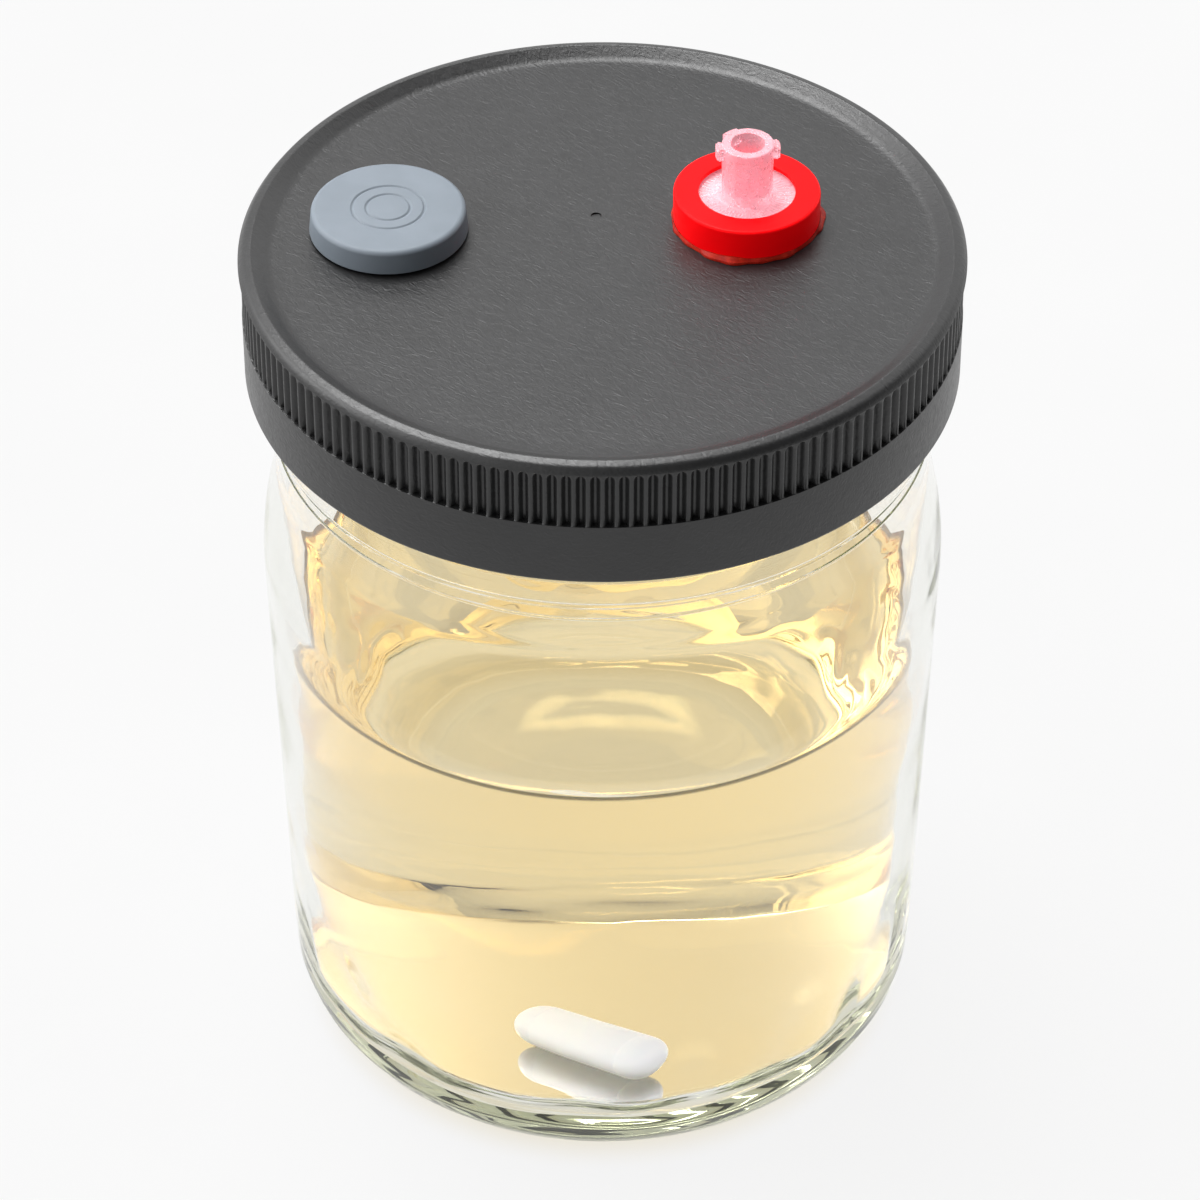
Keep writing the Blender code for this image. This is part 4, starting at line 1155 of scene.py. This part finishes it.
def make_jacket_material():
    """Waxy white fluoropolymer, with a painted glow: a little emission that grows as the surface faces up, so
    its upper side looks lit.
    """
    sockets = {"Subsurface Weight": 0.15, "Subsurface Scale": 0.0015, "Emission Color": JACKET_PAINTED_GLOW_TINT}
    material, tree, shader = new_material("white_fluoropolymer_look", colour(246, 246, 243), 0.35, sockets)
    vary_colour(tree, shader, noise(tree, size=0.003, detail=3), JACKET_SHADES)
    add_bump(tree, shader, noise(tree, size=0.0007, detail=3), depth=0.00002, strength=0.4)
    # Painted light: the emission grows from the underside to the top
    glow = smooth_step(tree, upwardness(tree), (-0.9, 0.3), (0.0, JACKET_PAINTED_GLOW))
    tree.links.new(glow, shader.inputs["Emission Strength"])
    return material


def make_plain_material(name, shades, roughness, size, metallic=0.0):
    """A quiet material whose colour and relief vary a little, for the pieces that hardly show."""
    shades = [colour(*shade) for shade in shades]
    material, tree, shader = new_material(name, shades[0], roughness, {"Metallic": metallic})
    vary_colour(tree, shader, noise(tree, size, detail=3), shades)
    add_bump(tree, shader, noise(tree, size / 4, detail=3), depth=0.00002, strength=0.4)
    return material


def dress_node(name, material):
    """Give a CAD node that stays in view its material."""
    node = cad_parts[name]
    node.data.materials.clear()
    node.data.materials.append(material)


# Floor, light and camera


def add_painted_warm_light(tree, shader):
    """A painted ring of warm light round the jar's foot, in the floor's glow, standing in for light that has
    come through the broth.
    """
    length = tree.nodes.new("ShaderNodeVectorMath")
    length.operation = "LENGTH"
    tree.links.new(piece_place(tree), length.inputs[0])
    reach = calculate(tree, "MULTIPLY", length.outputs["Value"], 1 / PAINTED_LIGHT_REACH)
    # Painted light: the floor's glow turns warm in a ring round the jar
    tint = mix_colours(tree, reach, (WHITE, FLOOR_PAINTED_WARM_LIGHT), (PAINTED_LIGHT_START, PAINTED_LIGHT_PEAK))
    ramp = tint.node.color_ramp
    ramp.interpolation = "EASE"
    ramp.elements.new(1.0).color = WHITE
    tree.links.new(tint, shader.inputs["Emission Color"])


def make_floor():
    """A plain white floor, lit a little from below like a light table, with a painted ring of warm light
    round the jar's foot.
    """
    mesh = bpy.data.meshes.new("floor")
    half = FLOOR_SIZE / 2
    corners = [(-half, -half, 0), (half, -half, 0), (half, half, 0), (-half, half, 0)]
    mesh.from_pydata(corners, [], [(0, 1, 2, 3)])
    glow = {"Emission Strength": FLOOR_GLOW}
    material, tree, shader = new_material("pale_floor", FLOOR_SHADE, 0.8, glow, specular=0.0)
    add_painted_warm_light(tree, shader)
    vary_colour(tree, shader, noise(tree, size=0.05, detail=3), FLOOR_SHADES)
    mesh.materials.append(material)
    floor = bpy.data.objects.new("floor", mesh)
    bpy.context.scene.collection.objects.link(floor)


def facing(tree, view_socket, direction):
    """How far a view direction faces another direction, 1 when they agree."""
    node = tree.nodes.new("ShaderNodeVectorMath")
    node.operation = "DOT_PRODUCT"
    node.inputs[1].default_value = Vector(direction).normalized()
    tree.links.new(view_socket, node.inputs[0])
    return node.outputs["Value"]


def soft_light(tree, view, direction, strength, sharpness):
    """A light in the sky without edges."""
    towards = calculate(tree, "MAXIMUM", facing(tree, view, direction), 0.0)
    return calculate(tree, "MULTIPLY", calculate(tree, "POWER", towards, sharpness), strength)


def make_light():
    """A white studio that surfaces see dark towards the camera, with a softbox behind and soft lights.

    Through clear things it is bright all round, so that glass and broth stay bright in front.
    """
    world = bpy.data.worlds.new("studio")
    world.use_nodes = True
    tree = world.node_tree
    view = tree.nodes.new("ShaderNodeTexCoord").outputs["Generated"]
    backward = one_axis(tree, view, "Y")
    through = tree.nodes.new("ShaderNodeLightPath").outputs["Is Transmission Ray"]
    on_surfaces = smooth_step(tree, backward, SURFACE_EDGES, SURFACE_STRENGTHS)
    on_surfaces = calculate(tree, "MULTIPLY", on_surfaces, calculate(tree, "SUBTRACT", 1.0, through))
    through_glass = smooth_step(tree, backward, THROUGH_EDGES, THROUGH_STRENGTHS)
    through_glass = calculate(tree, "MULTIPLY", through_glass, through)
    total = calculate(tree, "ADD", on_surfaces, through_glass)
    box_edges = [math.cos(math.radians(angle)) for angle in BOX_EDGES_DEG]
    box = smooth_step(tree, facing(tree, view, BOX_DIRECTION), box_edges, (0, BOX_STRENGTH))
    soft_lights = [soft_light(tree, view, *light) for light in (SIDE_LIGHT, FILL_LIGHT, CORNER_LIGHT)]
    for light in (box, *soft_lights):
        total = calculate(tree, "ADD", total, light)
    background = tree.nodes["Background"]
    tree.links.new(total, background.inputs["Strength"])
    background.inputs["Color"].default_value = WHITE
    bpy.context.scene.world = world


def make_camera():
    """The photograph's camera."""
    data = bpy.data.cameras.new("camera")
    data.sensor_width = CAMERA_SENSOR_MM
    data.lens = CAMERA_LENS_MM
    data.shift_x = -AXIS_OFFSET_PX / PHOTO_WIDTH_PX
    data.clip_start, data.clip_end = CAMERA_CLIP
    camera = bpy.data.objects.new("camera", data)
    camera.location = CAMERA_PLACE
    camera.rotation_euler = (math.radians(CAMERA_TILT_DEG), 0, 0)
    bpy.context.scene.collection.objects.link(camera)
    bpy.context.scene.camera = camera


def set_light_paths():
    """Plain colours, and enough bounces for light to pass through the glass and the broth."""
    scene = bpy.context.scene
    scene.view_settings.view_transform = "Standard"
    scene.cycles.max_bounces = 96
    scene.cycles.transmission_bounces = 96
    scene.cycles.transparent_max_bounces = 32
    scene.cycles.glossy_bounces = 48
    scene.cycles.diffuse_bounces = 5


def build():
    """Make everything."""
    make_jar(make_clear_material("clear_glass_look", GLASS_IOR, GLASS_TINT, GLASS_DENSITY, GLASS_RELIEF))
    make_broth(make_broth_material())
    make_gasket(make_plain_material("white_silicone_look", SILICONE_SHADES, roughness=0.5, size=0.003))
    make_lid(make_lid_material())
    make_port(make_port_material())
    make_sealant(make_sealant_material())
    make_ring(make_ring_material())
    make_inlet(make_filter_plastic("translucent_inlet_look"))
    make_outlet(make_filter_plastic("translucent_outlet_look"))
    make_stir_bar(make_jacket_material())
    membrane = make_plain_material("white_membrane_look", MEMBRANE_SHADES, roughness=0.85, size=0.0006)
    dress_node("filter_membrane", membrane)
    magnet = make_plain_material("magnet_look", MAGNET_SHADES, roughness=0.4, size=0.001, metallic=1.0)
    dress_node("stir_bar_magnet", magnet)
    make_floor()
    make_light()
    make_camera()
    set_light_paths()


build()
